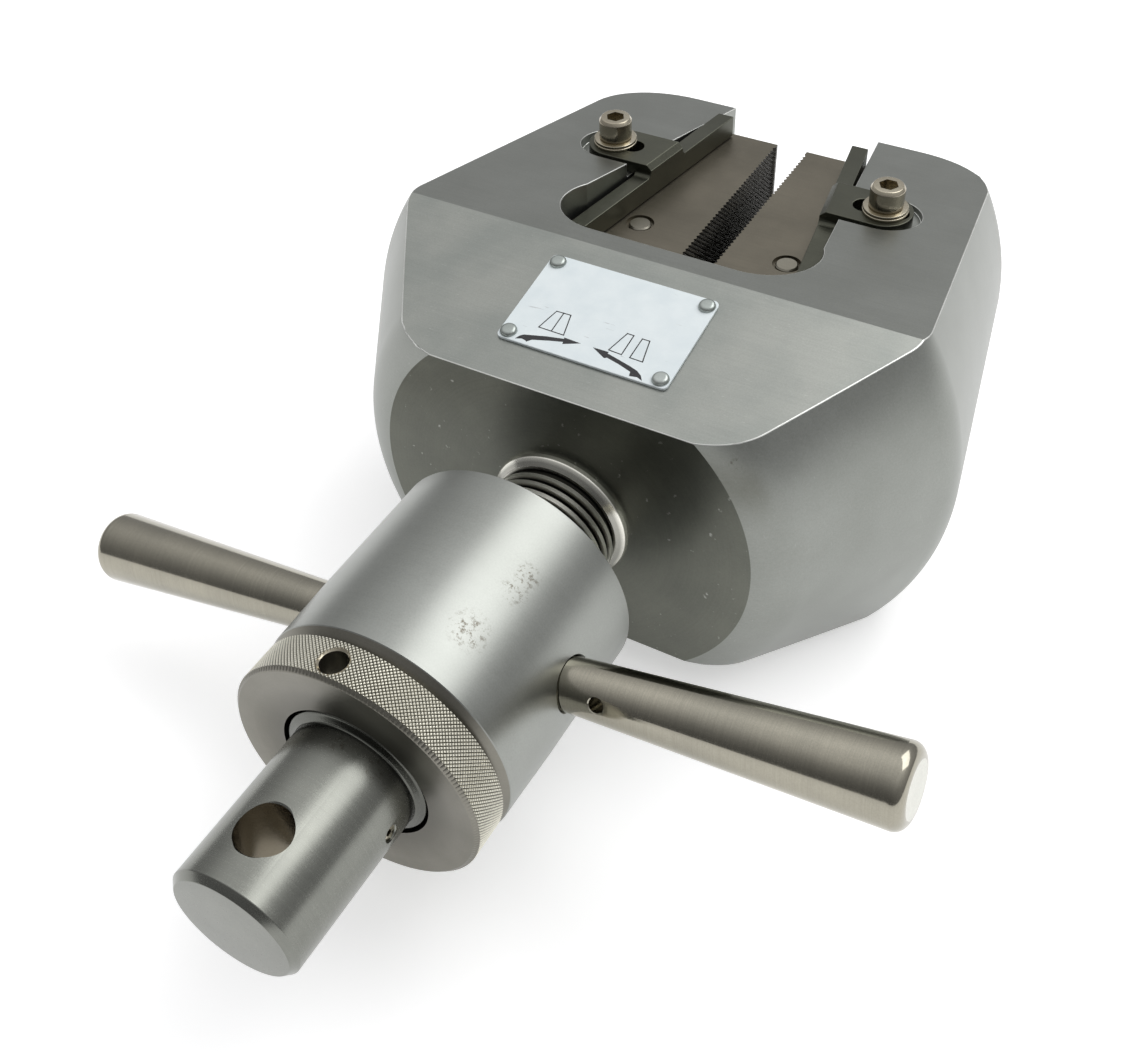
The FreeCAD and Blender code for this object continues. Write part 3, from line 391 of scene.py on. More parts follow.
def make_stem():
    """Turned stem with its flange and socket, drilled from both sides and for its lock screw."""
    outline = rounded((0, 0), (14.4, 0, 0.3), (STEM, 1.6, 0.4), (STEM, 42.6, 0.5), (17.2, 43),
                      (18.3, 43.2, 0.8), (18.3, 54), (9.5, 54), (9.5, 28), (0, 28))
    stem = turn("stem", outline, steps=192)
    cross_hole, lock_screw = 15.1, 33.8
    for upwards in (1, -1):
        mouth, floor = at(0, cross_hole, upwards * 15.75), at(0, cross_hole, upwards * -10)
        cut(stem, drill(6.35, mouth, floor, chamfer=0.3, steps=96))
    cut(stem, drill(1.9, at(15.6, lock_screw), at(5, lock_screw), chamfer=0.25, steps=48))
    fit(stem, "drawbar_unit", "stem_steel", stem_steel, "stem")
    finish_faces(stem, bore_steel, lambda spot: spot.xz.length < 14 and 8 < spot.y < 22)


def make_barrel():
    """Bored barrel with a socket for each handle."""
    bore, seat = 17.6125, 63.3
    outline = ((28.6, BARREL_START), (32.05, BARREL_START), (32.25, 55.5), (BARREL, 75),
               (BARREL, 109.6), (32.2, BARREL_END), (18.4, BARREL_END), (bore, 109.2), (bore, 65),
               (25.9, 65), (25.9, seat), (28.6, seat))
    barrel = turn("barrel", outline, steps=192, closed=True)
    for side, _ in SIDES:
        cut(barrel, drill(6.7, at(side * 32.2, HANDLES), at(side * 21.1, HANDLES), chamfer=0.3))
    tilt_with_handles(barrel)
    fit(barrel, "barrel_unit", "barrel_steel", barrel_steel, "adjusting_barrel")


def make_lock_collar():
    """Collar with a diamond knurl between its bevelled rim and its bevelled shoulder."""
    rows, around = 36, 788
    knurl = 43.1, 52.5
    step = (knurl[1] - knurl[0]) / rows
    bore, boss, groove = 19.05, 28.5, 30.2
    outline = [(bore, 42.9), (22.4, 42.9), (26, 42.2), (30.9, 42.2), (31.2, 42.35)]
    outline += [(COLLAR, knurl[0] + step * row) for row in range(rows + 1)]
    outline += [(groove, 52.55), (groove, 53.3), (32.05, BARREL_START), (boss, BARREL_START),
                (boss, 63), (25.9, 63), (25.9, 50), (bore, 50)]
    collar = turn("lock_collar", outline, steps=around, closed=True)

    def on_knurl(spot):
        return knurl[0] - 0.01 < spot.y < knurl[1] + 0.01 and spot.xz.length > 31.5

    def level(corner):
        """Crest of a lozenge, its shoulder, or one of the grooves that cross round it."""
        spot = (corner - AXIS) / MM
        row = round((spot.y - knurl[0]) / step)
        column = round(atan2(spot.x, spot.z) / tau * around)
        if not on_knurl(spot) or (row % 4, column % 4) in ((0, 0), (2, 2)):
            return "crest"
        return "shoulder" if (row + column) % 2 else "groove"

    for part, scale in (("shoulder", 0.998), ("groove", 0.9915)):
        pick(collar, "VERT", lambda corner: level(corner) == part)
        bpy.ops.transform.resize(value=(scale, 1, scale), center_override=AXIS)
        done()
    pick(collar, "FACE", lambda middle, normal: on_knurl((middle - AXIS) / MM))
    bpy.ops.mesh.quads_convert_to_tris(quad_method="SHORTEST_DIAGONAL")
    done()
    hole_at, hole_angle = 47.3, radians(6)
    lean = Vector((-sin(hole_angle), 0, cos(hole_angle)))
    middle = at(0, hole_at)
    cut(collar, drill(3.2, middle + lean * COLLAR * MM, middle + lean * 26 * MM, chamfer=0.6))
    fit(collar, "barrel_unit", "collar_steel", collar_steel, "lock_collar", angle=20)

    def on_hole_rim(spot):
        from_hole = (spot - Vector((-3.35, hole_at, spot.z))).length
        return spot.xz.length > 30.9 and spot.z > 30 and 3.22 < from_hole < 3.79

    finish_faces(collar, knurl_steel, on_knurl)
    finish_faces(collar, fastener_steel, on_hole_rim)


def make_handles():
    """Two taper handles; the right one has a small cross hole near its root."""
    root, reach = 21.1, 112
    outline = rounded((0, root), (6.5, root), (6.5, BARREL), (9.6, reach, 3), (0, reach), steps=8)
    centre = at(0, HANDLES)
    for side, name in SIDES:
        out = Vector((side * cos(TILT), 0, side * sin(TILT)))
        handle = turn(f"{name}_handle", outline, steps=96, centre=centre, axis=out, side=ALONG)
        if side > 0:
            way = Vector((-0.0698, -0.8988, 0.4328))
            middle = centre + out * 42.2 * MM
            mouth, floor = middle + way * 6.7 * MM, middle + way * 1.5 * MM
            cut(handle, drill(1.85, mouth, floor, chamfer=0.25, steps=40))
        fit(handle, "barrel_unit", "handle_steel", handle_steel, f"{name}_handle")

        def on_end(spot):
            return (spot.x * cos(TILT) + spot.z * sin(TILT)) * side > reach - 0.01

        finish_faces(handle, handle_end, on_end)


# Jaws and retainers

def serrate(jaw, side):
    """Raise pointed teeth over the grip face: every other point of a fine grid is pushed back."""
    cuts = 79
    face_x = side * GRIP_FACE
    length = JAW_TOE - JAW_HEEL

    pick(jaw, "FACE", lambda middle, normal: abs((middle - AXIS).x / MM - face_x) < 0.01)
    bpy.ops.mesh.subdivide(number_cuts=cuts)
    done()

    def root(corner):
        spot = (corner - AXIS) / MM
        along = round((spot.y - JAW_HEEL) / length * (cuts + 1))
        up = round((spot.z + JAW_DEPTH) / (2 * JAW_DEPTH) * (cuts + 1))
        return abs(spot.x - face_x) < 0.01 and 0 < along < cuts and (along + up) % 2 == 1

    pick(jaw, "VERT", root)
    bpy.ops.transform.translate(value=(side * TOOTH * MM, 0, 0))
    bpy.ops.mesh.vert_connect()
    done()


def make_jaws():
    """Wedge jaws with teeth, a fork for the crosshead, and a pin that lies in a shallow recess."""
    gap = 0.1
    fork = ((200, -7.3), (232.3, -7.3), (232.3, 7.3), (200, 7.3))
    pin_outline = rounded((0, -JAW_DEPTH), (2.8, -JAW_DEPTH), (QUARTER_INCH, -29.6),
                          (QUARTER_INCH, 29.6), (2.8, JAW_DEPTH), (0, JAW_DEPTH))

    def on_teeth(spot):
        return GRIP_FACE - 0.01 < abs(spot.x) < GRIP_FACE + TOOTH + 0.01 and abs(spot.z) < 29.99

    for side, name in SIDES:
        def on_pin(height):
            return at(side * PINS_ASIDE, JAW_PINS, height)

        heel, toe = side * (wall(JAW_HEEL) - gap), side * (wall(JAW_TOE) - gap)
        outline = rounded((side * GRIP_FACE, JAW_HEEL), (heel, JAW_HEEL, 6), (toe, JAW_TOE),
                          (side * GRIP_FACE, JAW_TOE), steps=10)
        jaw = slab(f"{name}_jaw", outline, -JAW_DEPTH, JAW_DEPTH)
        serrate(jaw, side)
        cut(jaw, side_slab("fork", fork, side * 1, side * 60))
        for face in (1, -1):
            cut(jaw, drill(4.05, on_pin(face * JAW_DEPTH), on_pin(face * 29), steps=48))
        cut(jaw, drill(3.225, on_pin(28), on_pin(-32), steps=48))
        fit(jaw, f"{name}_jaw_unit", "jaw_steel", jaw_steel, f"{name}_jaw", angle=15)
        # the teeth get a near-black steel as painted shade
        finish_faces(jaw, tooth_shade_steel, on_teeth)
        pin = turn(f"{name}_jaw_pin", pin_outline, steps=48, centre=on_pin(0), axis=UP)
        fit(pin, f"{name}_jaw_unit", "pin_steel", pin_steel, f"{name}_jaw_pin")


def make_retainers():
    """Bars along the pocket's walls, each with a slotted tab that is bevelled over the jaw."""
    width, bar_foot, tab_round = 5, 30.3, 7.84
    view = rounded((BAR_START, bar_foot), (BAR_END, bar_foot), (BAR_END, RECESS),
                   (TAB_END, RECESS, 1.5), (TAB_END, TAB_TOP), (TAB_START, TAB_TOP),
                   (TAB_START, RECESS, 1.5), (BAR_START, RECESS))
    for side, name in SIDES:
        def edge(station, inset=width):
            return side * (wall(station) - 1 - inset)

        strip = [(edge(BAR_START), BAR_START), (edge(BAR_START, 0), BAR_START),
                 (edge(BAR_END, 0), BAR_END), (edge(BAR_END), BAR_END)]
        bar = side_slab(f"{name}_retainer", view, side * 5, side * 60)
        combine(bar, slab("strip", strip, 20, 50), "INTERSECT")
        corner = side * 49.3
        plan = rounded((edge(TAB_START), TAB_START), (corner, TAB_START, tab_round),
                       (corner, TAB_END, tab_round), (edge(TAB_END), TAB_END), steps=16)
        combine(bar, slab("tab", plan, RECESS, TAB_TOP), "UNION")
        run = Vector((edge(TAB_END) - edge(TAB_START), TAB_END - TAB_START, 0)).normalized()
        inwards = Vector((run.y, -run.x, 0)) * -side
        start = at(edge(TAB_START), TAB_START, 38.8)

        def past_the_edge(aside, up, along):
            return start + (inwards * aside + UP * up + run * along) * MM

        cut(bar, slab("bevel", ((-8, 8), (8, -8), (8, 8)), -40, 60, past_the_edge))
        ends = sorted((side * 35.6, side * 45.2))
        cut(bar, slab("slot", slot_outline(*ends, SCREWS, 3.1), 30, 50))
        pick(bar, "FACE", lambda middle, normal: True)
        bpy.ops.mesh.dissolve_limited(angle_limit=radians(1))
        done()
        break_edges(bar, 0.2, angle=40)
        fit(bar, "grip_frame", "retainer_steel", retainer_steel, f"{name}_retainer", angle=15)


def make_retainer_screws():
    """Socket head screws of a quarter inch, each on a two-step washer."""
    head, head_height, shank = 4.7625, 6.35, 18
    ring = rounded((3.3, 0), (6.35, 0, 0.25), (6.35, 0.7, 0.25), (5.9, 0.8), (6.2, 0.9, 0.2),
                   (6.2, WASHER, 0.25), (3.3, WASHER), steps=3)
    outline = rounded((0, -shank), (2.7, -shank), (QUARTER_INCH, -17.5), (QUARTER_INCH, 0),
                      (4.4, 0), (head, 0.35), (head, 5.4, 0.5), (4.1, head_height, 0.3),
                      (0, head_height), steps=4)
    corner = head / 3 ** 0.5
    socket_floor = TAB_TOP + WASHER + 3.15
    for side, name in SIDES:
        aside = side * SCREWS_ASIDE
        seat = at(aside, SCREWS, TAB_TOP)
        washer = turn(f"{name}_washer", ring, steps=64, closed=True, centre=seat, axis=UP)
        fit(washer, "grip_frame", "fastener_steel", fastener_steel, f"{name}_retainer_washer")
        screw = turn(f"{name}_screw", outline, steps=64, centre=seat + UP * WASHER * MM, axis=UP)
        hexagon = []
        for step in range(6):
            angle = radians(60 * step)
            hexagon.append((aside + corner * cos(angle), SCREWS + corner * sin(angle)))
        cut(screw, slab("hexagon", hexagon, socket_floor, 60))
        fit(screw, "grip_frame", "fastener_steel", fastener_steel, f"{name}_retainer_screw")


# Name plate

def make_name_plate():
    """Thin plate with rounded corners, held by four domed rivets."""
    half_width, half_height, corner, thickness = 23.5, 15.3, 1.5, 0.8
    outline = rounded((-half_width, -half_height, corner), (half_width, -half_height, corner),
                      (half_width, half_height, corner), (-half_width, half_height, corner))
    plate = slab("name_plate", outline, 0, thickness, on_lower_front)
    break_edges(plate, 0.15)
    fit(plate, "grip_frame", "plate_white", plate_white, "name_plate", angle=15)
    normal = Vector((0, -sin(LOWER_SLOPE), cos(LOWER_SLOPE)))
    shank, head, depth, top = 1.2, 2.2, -3.9, 1.9
    dome = rounded((0, depth), (shank, depth), (shank, thickness), (head, thickness),
                   (head, top, 1.04), (0, top), steps=8)
    rivets = (21, 12.8), (21, -12.8), (-21, 12.8), (-21, -12.8)
    for number, (x, y) in enumerate(rivets, start=1):
        rivet = turn(f"rivet_{number}", dome, steps=40, centre=on_lower_front(x, y, 0), axis=normal)
        fit(rivet, "grip_frame", "plate_white", rivet_steel, f"plate_rivet_{number}")


def stroke(start, end):
    """Outline of a straight line of print."""
    width = 0.3
    start, end = Vector(start), Vector(end)
    aside = (end - start).orthogonal().normalized() * width / 2
    ahead = (end - start).normalized() * width / 2
    start, end = start - ahead, end + ahead
    return start + aside, end + aside, end - aside, start - aside


def print_plate():
    """Black print: a closed and an open pair of wedges, each with the way to turn the barrel."""
    wedges = (
        ((-13.0, -2.5), (-9.0, -2.4), (-7.5, -9.0), (-14.6, -8.9)),
        ((6.9, -2.6), (8.7, -2.6), (8.7, -9.3), (5.1, -9.1)),
        ((11.1, -2.8), (13.1, -2.8), (14.5, -9.5), (11.0, -9.4)))
    arrows = (
        ((-18.3, -14.5), (-17.6, -13.2), (-16.8, -12.5), (-15.0, -12.0), (-11.1, -10.9),
         (-6.7, -10.0), (-7.0, -9.6), (-2.2, -9.8), (-6.4, -11.7), (-6.5, -11.0), (-10.1, -12.0),
         (-14.1, -13.3), (-15.1, -14.4), (-15.5, -14.1), (-16.6, -13.9)),
        ((1.1, -9.8), (5.5, -9.7), (5.4, -10.2), (8.9, -11.0), (12.3, -11.8), (14.6, -12.5),
         (16.1, -13.5), (17.1, -14.9), (15.5, -14.3), (13.5, -14.7), (13.2, -13.4), (9.5, -12.3),
         (5.9, -11.5), (5.3, -11.9)))
    marks = [stroke((-11, -2.4), (-11, -8.9))]
    for wedge in wedges:
        marks += [stroke(here, there) for here, there in zip(wedge, wedge[1:] + wedge[:1])]
    marks += arrows
    sunk, proud = 0.78, 0.815
    parts = [slab("mark", mark, sunk, proud, on_lower_front) for mark in marks]
    only(parts[0])
    for part in parts:
        part.select_set(True)
    bpy.ops.object.join()
    ink = bpy.context.object
    ink.name = "plate_print"
    fit(ink, "grip_frame", "plate_white", print_black)


# Surfaces

SCRATCHED = (0.75, 0.75, 0.72)
RUST = (0.06, 0.045, 0.025)
# near-black painted shade, laid into grooves, hollows and roots
PAINTED_SHADE = (0.02, 0.02, 0.016)


def put(material, kind, **values):
    """Add a shader node and set its inputs and settings by name."""
    node = material.node_tree.nodes.new(kind)
    for name, value in values.items():
        socket = name.replace("_", " ").title()
        if socket in node.inputs:
            if isinstance(value, bpy.types.NodeSocket):
                material.node_tree.links.new(value, node.inputs[socket])
            else:
                node.inputs[socket].default_value = value
        else:
            setattr(node, name, value)
    return node


def sheen_of(name, metallic):
    material = bpy.data.materials.new(name)
    material.use_nodes = True
    shader = material.node_tree.nodes["Principled BSDF"]
    shader.inputs["Metallic"].default_value = metallic
    return material, shader


def link(material, output, shader, socket):
    material.node_tree.links.new(output, shader.inputs[socket])


def where(material, stretch=(1, 1, 1), turn_by=(0, 0, 0)):
    """Place on the piece in millimetres, stretched where a pattern runs in lines."""
    spot = put(material, "ShaderNodeTexCoord").outputs["Object"]
    scale = tuple(1000 / part for part in stretch)
    return put(material, "ShaderNodeMapping", vector=spot, scale=scale,
               rotation=turn_by).outputs["Vector"]


def round_the_axis(material, centre=AXIS, turn_by=(0, 0, 0)):
    """Radius and station about a lathe axis in millimetres, for marks that run round the piece."""
    coarse = 60
    spot = put(material, "ShaderNodeTexCoord").outputs["Object"]
    centred = put(material, "ShaderNodeVectorMath", operation="SUBTRACT").inputs
    material.node_tree.links.new(spot, centred[0])
    centred[1].default_value = centre
    parts = put(material, "ShaderNodeMapping", vector=centred[0].node.outputs[0], rotation=turn_by,
                scale=(1000, 1000, 1000)).outputs["Vector"]
    split = put(material, "ShaderNodeSeparateXYZ", vector=parts)
    flat = put(material, "ShaderNodeCombineXYZ", x=split.outputs["X"],
               z=split.outputs["Z"]).outputs[0]
    radius = put(material, "ShaderNodeVectorMath", operation="LENGTH")
    material.node_tree.links.new(flat, radius.inputs[0])
    slow = put(material, "ShaderNodeMapping", vector=flat,
               scale=(1 / coarse,) * 3).outputs["Vector"]
    drift = put(material, "ShaderNodeSeparateXYZ", vector=slow)
    return put(material, "ShaderNodeCombineXYZ", x=radius.outputs["Value"], y=split.outputs["Y"],
               z=drift.outputs["X"]).outputs[0]


def noise(material, vector, scale, detail=3.0, roughness=0.55):
    return put(material, "ShaderNodeTexNoise", vector=vector, scale=scale, detail=detail,
               roughness=roughness).outputs["Fac"]


def spread(material, value, low, high, to_low=0.0, to_high=1.0):
    """Stretch a value between two limits."""
    return put(material, "ShaderNodeMapRange", value=value, from_min=low, from_max=high,
               to_min=to_low, to_max=to_high).outputs["Result"]


def multiply(material, first, second):
    node = put(material, "ShaderNodeMath", operation="MULTIPLY")
    material.node_tree.links.new(first, node.inputs[0])
    material.node_tree.links.new(second, node.inputs[1])
    return node.outputs[0]


def blend(material, share, first, second, mode="MIX"):
    node = put(material, "ShaderNodeMix", data_type="RGBA", blend_type=mode)
    for number, value in ((0, share), (6, first), (7, second)):
        if isinstance(value, bpy.types.NodeSocket):
            material.node_tree.links.new(value, node.inputs[number])
        else:
            node.inputs[number].default_value = value if number == 0 else (*value, 1)
    return node.outputs[2]


def bump(material, height, distance):
    """Relief of a height pattern, its depth in millimetres."""
    return put(material, "ShaderNodeBump", height=height, distance=distance * MM,
               strength=1.0).outputs["Normal"]


def near(material, middle, reach):
    """How near a place on the piece is to a spot, from 0 at its reach to 1 at the spot."""
    spot = put(material, "ShaderNodeTexCoord").outputs["Object"]
    gap = put(material, "ShaderNodeVectorMath", operation="DISTANCE")
    material.node_tree.links.new(spot, gap.inputs[0])
    gap.inputs[1].default_value = middle
    return spread(material, gap.outputs["Value"], reach * MM, 0.0)


def metal(name, colour, shade, rough, marks="milled", line=0.5, depth=0.001, streak=0.03,
          centre=AXIS, turn_by=(0, 0, 0), scratch=0.0, stains=(), stain=0.6, painted_shade_below=None,
          painted_shade_towards=None):
    """Bare steel with a cloudy colour between two tones.

    Tool marks run round it or along it, with the width and the depth of a line in millimetres.
    Scratches are pale and stains lie about their places. Painted shade darkens the steel inside a
    radius or towards a station, each given as where it is full, where it ends, and how much of the
    tone is left at its full.
    """
    material, shader = sheen_of(name, 1.0)
    place = where(material)
    cloudy = spread(material, noise(material, place, 0.05, 4.0), 0.35, 0.65)
    if marks == "turned":
        round_it = round_the_axis(material, centre, turn_by)
        lines = noise(material, round_it, 1 / line, 2.0)
    else:
        lines = noise(material, where(material, (40, 1, 1), turn_by), 1 / line, 2.0)
    grain = noise(material, place, 2.5, 2.0)
    texture = blend(material, 0.6, lines, grain)
    tone = blend(material, cloudy, colour, shade)
    streaks = spread(material, lines, 0.3, 0.7, 1 - streak, 1 + streak)
    tone = blend(material, 1.0, tone, streaks, "MULTIPLY")
    specks = spread(material, grain, 0.3, 0.7, 0.95, 1.05)
    tone = blend(material, 1.0, tone, specks, "MULTIPLY")
    if scratch:
        for angle in (0.5, 2.2):
            fine = noise(material, where(material, (8, 1, 8), (0, 0, angle)), 3.2, 2.0)
            marked = spread(material, fine, 0.71, 0.78, 0.0, scratch)
            tone = blend(material, marked, tone, SCRATCHED)
    for middle, reach in stains:
        speck = spread(material, noise(material, place, 0.8, 5.0, 0.75), 0.52, 0.62, 0.0, stain)
        spots = multiply(material, speck, spread(material, near(material, middle, reach), 0.0, 0.6))
        tone = blend(material, spots, tone, RUST)
    # painted shade: the tone is blended towards near black inside a radius or towards a station
    for limits, output in ((painted_shade_below, "X"), (painted_shade_towards, "Y")):
        if limits:
            full, end, unshaded_there = limits
            split = put(material, "ShaderNodeSeparateXYZ", vector=round_the_axis(material))
            unshaded = spread(material, split.outputs[output], full, end, unshaded_there, 1.0)
            tone = blend(material, unshaded, PAINTED_SHADE, tone)
    link(material, tone, shader, "Base Color")
    link(material, spread(material, texture, 0.35, 0.65, rough[0], rough[1]), shader, "Roughness")
    link(material, bump(material, texture, depth), shader, "Normal")
    return material


def white_paint():
    material, shader = sheen_of("plate_white", 0.0)
    place = where(material)
    cloudy = spread(material, noise(material, place, 0.15, 4.0), 0.3, 0.7)
    scuff = spread(material, noise(material, where(material, (9, 1, 1)), 1.2, 4.0), 0.70, 0.76)
    tone = blend(material, cloudy, (0.80, 0.86, 0.87), (0.72, 0.79, 0.81))
    link(material, blend(material, scuff, tone, (0.50, 0.52, 0.52)), shader, "Base Color")
    link(material, spread(material, cloudy, 0, 1, 0.28, 0.42), shader, "Roughness")
    link(material, bump(material, noise(material, place, 2.0, 3.0), 0.01), shader, "Normal")
    return material


def black_print():
    material, shader = sheen_of("print_black", 0.0)
    worn = spread(material, noise(material, where(material), 1.5, 3.0), 0.60, 0.72)
    ink = blend(material, worn, (0.012, 0.012, 0.014), (0.05, 0.05, 0.05))
    link(material, ink, shader, "Base Color")
    link(material, spread(material, worn, 0, 1, 0.35, 0.5), shader, "Roughness")
    return material


body_steel = metal("body_steel", (0.285, 0.295, 0.275), (0.26, 0.27, 0.25), (0.34, 0.40), line=0.6,
                   depth=0.0012, scratch=0.12, stain=1.0,
                   stains=((at(46.5, 135.5, 35), 2.2), (at(44.5, 136, 39), 1.2)))
# lighter copy of the body steel on the lower front slope, painted light for its brighter shading;
# its scratches are real
slope_lit_steel = metal("slope_lit_steel", (0.325, 0.335, 0.31), (0.275, 0.29, 0.27), (0.34, 0.40),
                    line=0.6, depth=0.0012, scratch=0.2)
# bright copy of the body steel on the broken edges, a painted edge highlight
edge_highlight_steel = metal("edge_highlight_steel", (0.78, 0.79, 0.76), (0.60, 0.61, 0.58), (0.28, 0.34), line=0.6,
                   depth=0.0008)
# darkened copy of the body steel for the disk, painted shade for the shadowed floor and barrel that
# it mirrors; its scratches are real
disk_shaded_steel = metal("disk_shaded_steel", (0.165, 0.17, 0.145), (0.14, 0.145, 0.125), (0.30, 0.36), "turned",
                   line=0.6, depth=0.0012, scratch=0.4)
# neck steel: below radius 16.6 the thread grooves are painted near black as shade
neck_steel = metal("neck_steel", (0.92, 0.91, 0.84), (0.82, 0.81, 0.74), (0.30, 0.38), "turned",
                   line=0.3, painted_shade_below=(16.6, 17.3, 0.03))
# brighter, glossier copy of the neck steel as the ring's painted highlight; darker towards the
# relief groove as painted shade
ring_highlight_steel = metal("ring_highlight_steel", (0.84, 0.83, 0.75), (0.74, 0.73, 0.66), (0.16, 0.22), "turned",
                   line=0.3, painted_shade_towards=(132.2, 133.0, 0.4))
# stem steel: painted darker towards its flange as shade and the collar's dark reflection at the
# root; its two stains are real
stem_steel = metal("stem_steel", (0.235, 0.24, 0.216), (0.20, 0.205, 0.185), (0.24, 0.28), "turned",
                   line=0.35, depth=0.0004, streak=0.04, painted_shade_towards=(43.0, 36.5, 0.45),
                   stain=0.5, stains=((at(10.2, 39.6, 12.1), 4), (at(1.5, 39.1, 15.8), 3)))
bore_steel = metal("bore_steel", (0.24, 0.21, 0.16), (0.16, 0.14, 0.10), (0.20, 0.26), line=0.3,
                   depth=0.0003)
barrel_steel = metal("barrel_steel", (0.32, 0.33, 0.31), (0.295, 0.305, 0.285), (0.32, 0.37),
                     "turned", line=0.6, depth=0.0008, streak=0.015, stain=0.8,
                     stains=((at(15.5, 69.7, 28.7), 6), (at(17.7, 84.5, 27.4), 4),
                             (at(17.8, 90, 27.3), 4)))
# collar steel: painted darker near the bore as shade in the recessed dish
collar_steel = metal("collar_steel", (0.235, 0.225, 0.195), (0.195, 0.188, 0.16), (0.32, 0.38),
                     "turned", line=0.3, painted_shade_below=(20, 27, 0.6))
# knurl steel: the valleys between the lozenges are painted near black as shade
knurl_steel = metal("knurl_steel", (0.85, 0.83, 0.72), (0.72, 0.70, 0.60), (0.30, 0.38), line=0.3,
                    painted_shade_below=(31.75, 31.90, 0.05))
handle_steel = metal("handle_steel", (0.36, 0.34, 0.28), (0.31, 0.295, 0.245), (0.10, 0.16),
                     "turned", line=0.3, depth=0.0006, streak=0.05, centre=at(0, HANDLES),
                     turn_by=(0, TILT, pi / 2))
handle_end = metal("handle_end", (0.82, 0.82, 0.77), (0.74, 0.74, 0.69), (0.55, 0.62), "turned",
                   line=0.3, centre=at(0, HANDLES), turn_by=(0, TILT, pi / 2))
jaw_steel = metal("jaw_steel", (0.185, 0.168, 0.132), (0.15, 0.137, 0.108), (0.36, 0.46),
                  depth=0.0015, scratch=0.06)
# near-black steel on the teeth, painted shade for the shadowed grip face
tooth_shade_steel = metal("tooth_shade_steel", (0.075, 0.07, 0.06), (0.045, 0.042, 0.036), (0.25, 0.35))
pin_steel = metal("pin_steel", (0.30, 0.285, 0.24), (0.26, 0.245, 0.20), (0.30, 0.40), line=0.4)
retainer_steel = metal("retainer_steel", (0.10, 0.102, 0.08), (0.082, 0.084, 0.066), (0.34, 0.42))
fastener_steel = metal("fastener_steel", (0.52, 0.48, 0.38), (0.40, 0.36, 0.28), (0.16, 0.24),
                       line=0.4)
rivet_steel = metal("rivet_steel", (0.42, 0.45, 0.43), (0.34, 0.37, 0.35), (0.28, 0.38), line=0.4)
bearing_steel = metal("bearing_steel", (0.36, 0.35, 0.32), (0.30, 0.29, 0.26), (0.22, 0.3),
                      "turned", line=0.3)
plate_white = white_paint()
print_black = black_print()


# Inner pieces

def dress_inner_pieces():
    """The lock screw and what is inside keep their solids and get their own steels."""
    steels = {"stem_set_screw": fastener_steel, "drawbar": pin_steel}
    for name in ("collar_thrust_washer", "lower_needle_cage", "lower_flange_washer",
                 "upper_flange_washer", "upper_needle_cage", "barrel_thrust_washer"):
        steels[name] = bearing_steel
    for name, steel in steels.items():
        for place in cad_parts[name].material_slots:
            place.material = steel


# Room

def add_camera():
    """Camera solved from the photo: its turn about the grip, its height and its roll."""
    turn_by, rise, roll = radians(31.516), radians(45.046), radians(-2.758)
    back = Vector((sin(turn_by) * cos(rise), -cos(turn_by) * cos(rise), sin(rise)))
    level = Vector((cos(turn_by), sin(turn_by), 0))
    above = back.cross(level)
    right = cos(roll) * level + sin(roll) * above
    up = cos(roll) * above - sin(roll) * level
    bpy.ops.object.camera_add(location=(0, 0, 0))
    camera = bpy.context.object
    camera.data.lens = 45.33
    camera.data.sensor_width = 36
    camera.data.clip_start = 0.01
    pose = Matrix((right, up, back)).transposed().to_4x4()
    pose.translation = Vector((0.13563, -0.23216, 0.30208))
    camera.matrix_world = pose
    bpy.context.scene.camera = camera


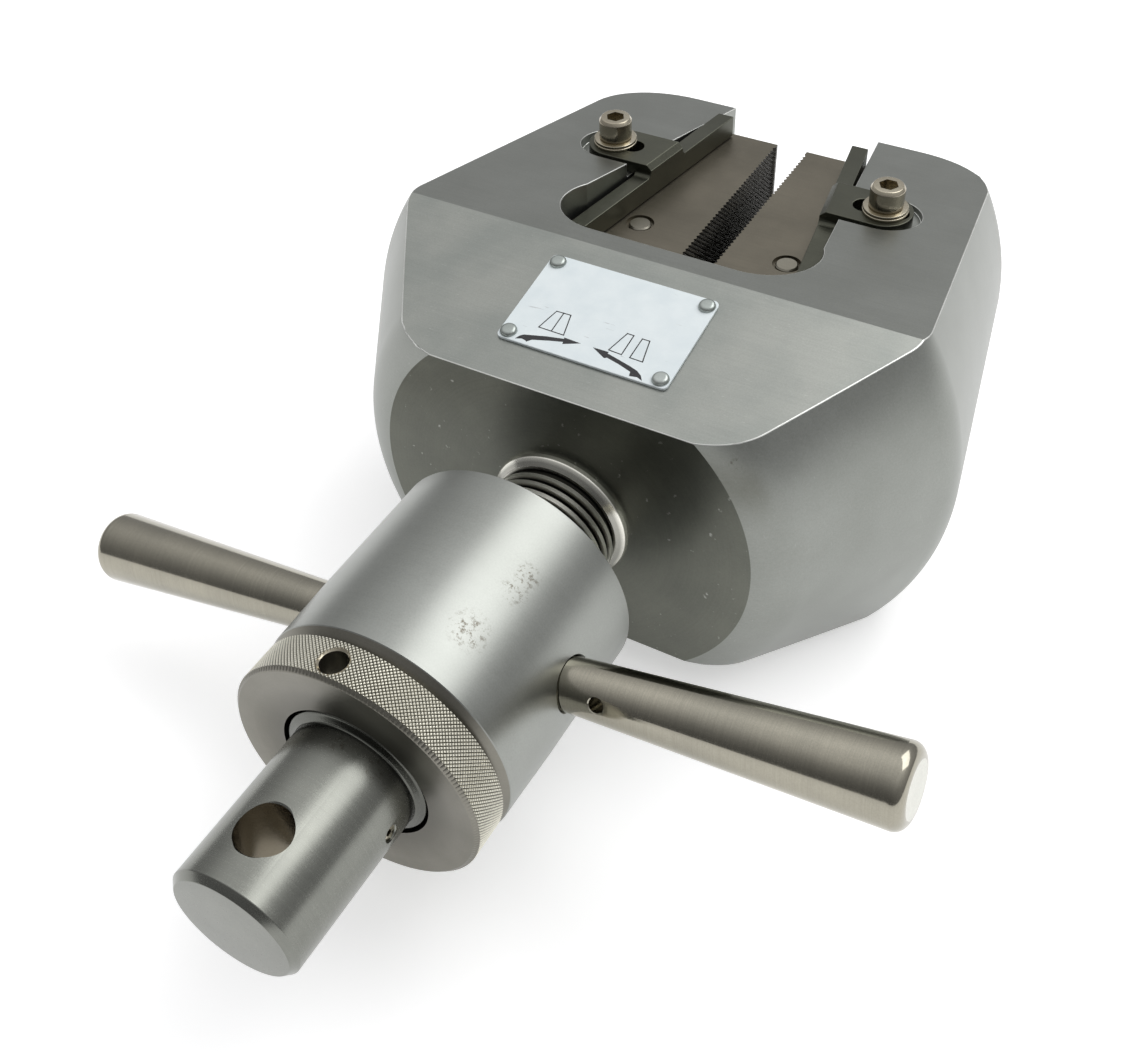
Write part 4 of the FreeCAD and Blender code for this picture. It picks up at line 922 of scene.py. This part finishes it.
def add_floor():
    """White paper, lifted to white only where it is looked at or mirrored, so its shadows stay."""
    bpy.ops.mesh.primitive_plane_add(size=8, location=(0, 0, 0))
    floor = bpy.context.object
    floor.name = "floor"
    material, shader = sheen_of("floor_white", 0.0)
    shader.inputs["Base Color"].default_value = (0.88, 0.88, 0.88, 1)
    shader.inputs["Roughness"].default_value = 0.9
    shader.inputs["Specular IOR Level"].default_value = 0.1
    rays = put(material, "ShaderNodeLightPath")
    seen = put(material, "ShaderNodeMath", operation="MAXIMUM")
    link(material, rays.outputs["Is Camera Ray"], seen, 0)
    link(material, rays.outputs["Is Glossy Ray"], seen, 1)
    through = put(material, "ShaderNodeMath", operation="MAXIMUM")
    link(material, seen.outputs[0], through, 0)
    link(material, rays.outputs["Is Transmission Ray"], through, 1)
    lift = put(material, "ShaderNodeMath", operation="MULTIPLY")
    link(material, through.outputs[0], lift, 0)
    lift.inputs[1].default_value = 0.44
    shader.inputs["Emission Color"].default_value = (1, 1, 1, 1)
    link(material, lift.outputs[0], shader, "Emission Strength")
    floor.data.materials.append(material)


def add_window():
    """Soft window behind the grip and above it, facing it."""
    place = Vector((0.424, 0.542, 1.013))
    bpy.ops.object.light_add(type="AREA", location=place)
    lamp = bpy.context.object
    lamp.name = "back_window"
    lamp.data.shape = "RECTANGLE"
    lamp.data.size, lamp.data.size_y = 1.1, 0.75
    lamp.data.energy = 5.8
    lamp.rotation_euler = (place - Vector((0, 0, 0.03))).to_track_quat("Z", "Y").to_euler()


def add_world():
    """Room that is bright overhead and dimmer towards the walls and towards the viewer."""
    world = bpy.data.worlds.new("studio")
    bpy.context.scene.world = world
    world.use_nodes = True
    sky = world.node_tree.nodes["Background"]
    around = put(world, "ShaderNodeTexCoord").outputs["Generated"]
    way = put(world, "ShaderNodeSeparateXYZ", vector=around)
    ramp = put(world, "ShaderNodeValToRGB")
    world.node_tree.links.new(way.outputs["Z"], ramp.inputs["Fac"])
    steps = ((0.0, 0.36), (0.17, 0.38), (0.34, 0.45), (0.5, 0.55), (0.7, 0.76), (0.85, 0.98))
    stops = ramp.color_ramp.elements
    stops.remove(stops[1])
    for number, (place, bright) in enumerate(steps):
        element = stops[0] if number == 0 else stops.new(place)
        element.position = place
        element.color = (bright, bright, bright * 1.01, 1)
    depth = spread(world, way.outputs["Y"], -1.0, 0.2, 0.4, 1.15)
    shaded = blend(world, 1.0, ramp.outputs["Color"], depth, "MULTIPLY")
    world.node_tree.links.new(shaded, sky.inputs["Color"])
    sky.inputs["Strength"].default_value = 1.0


make_body()
make_neck()
make_stem()
make_barrel()
make_lock_collar()
make_handles()
make_jaws()
make_retainers()
make_retainer_screws()
make_name_plate()
print_plate()
dress_inner_pieces()
add_camera()
add_floor()
add_world()
add_window()
bpy.context.scene.view_settings.view_transform = "Standard"
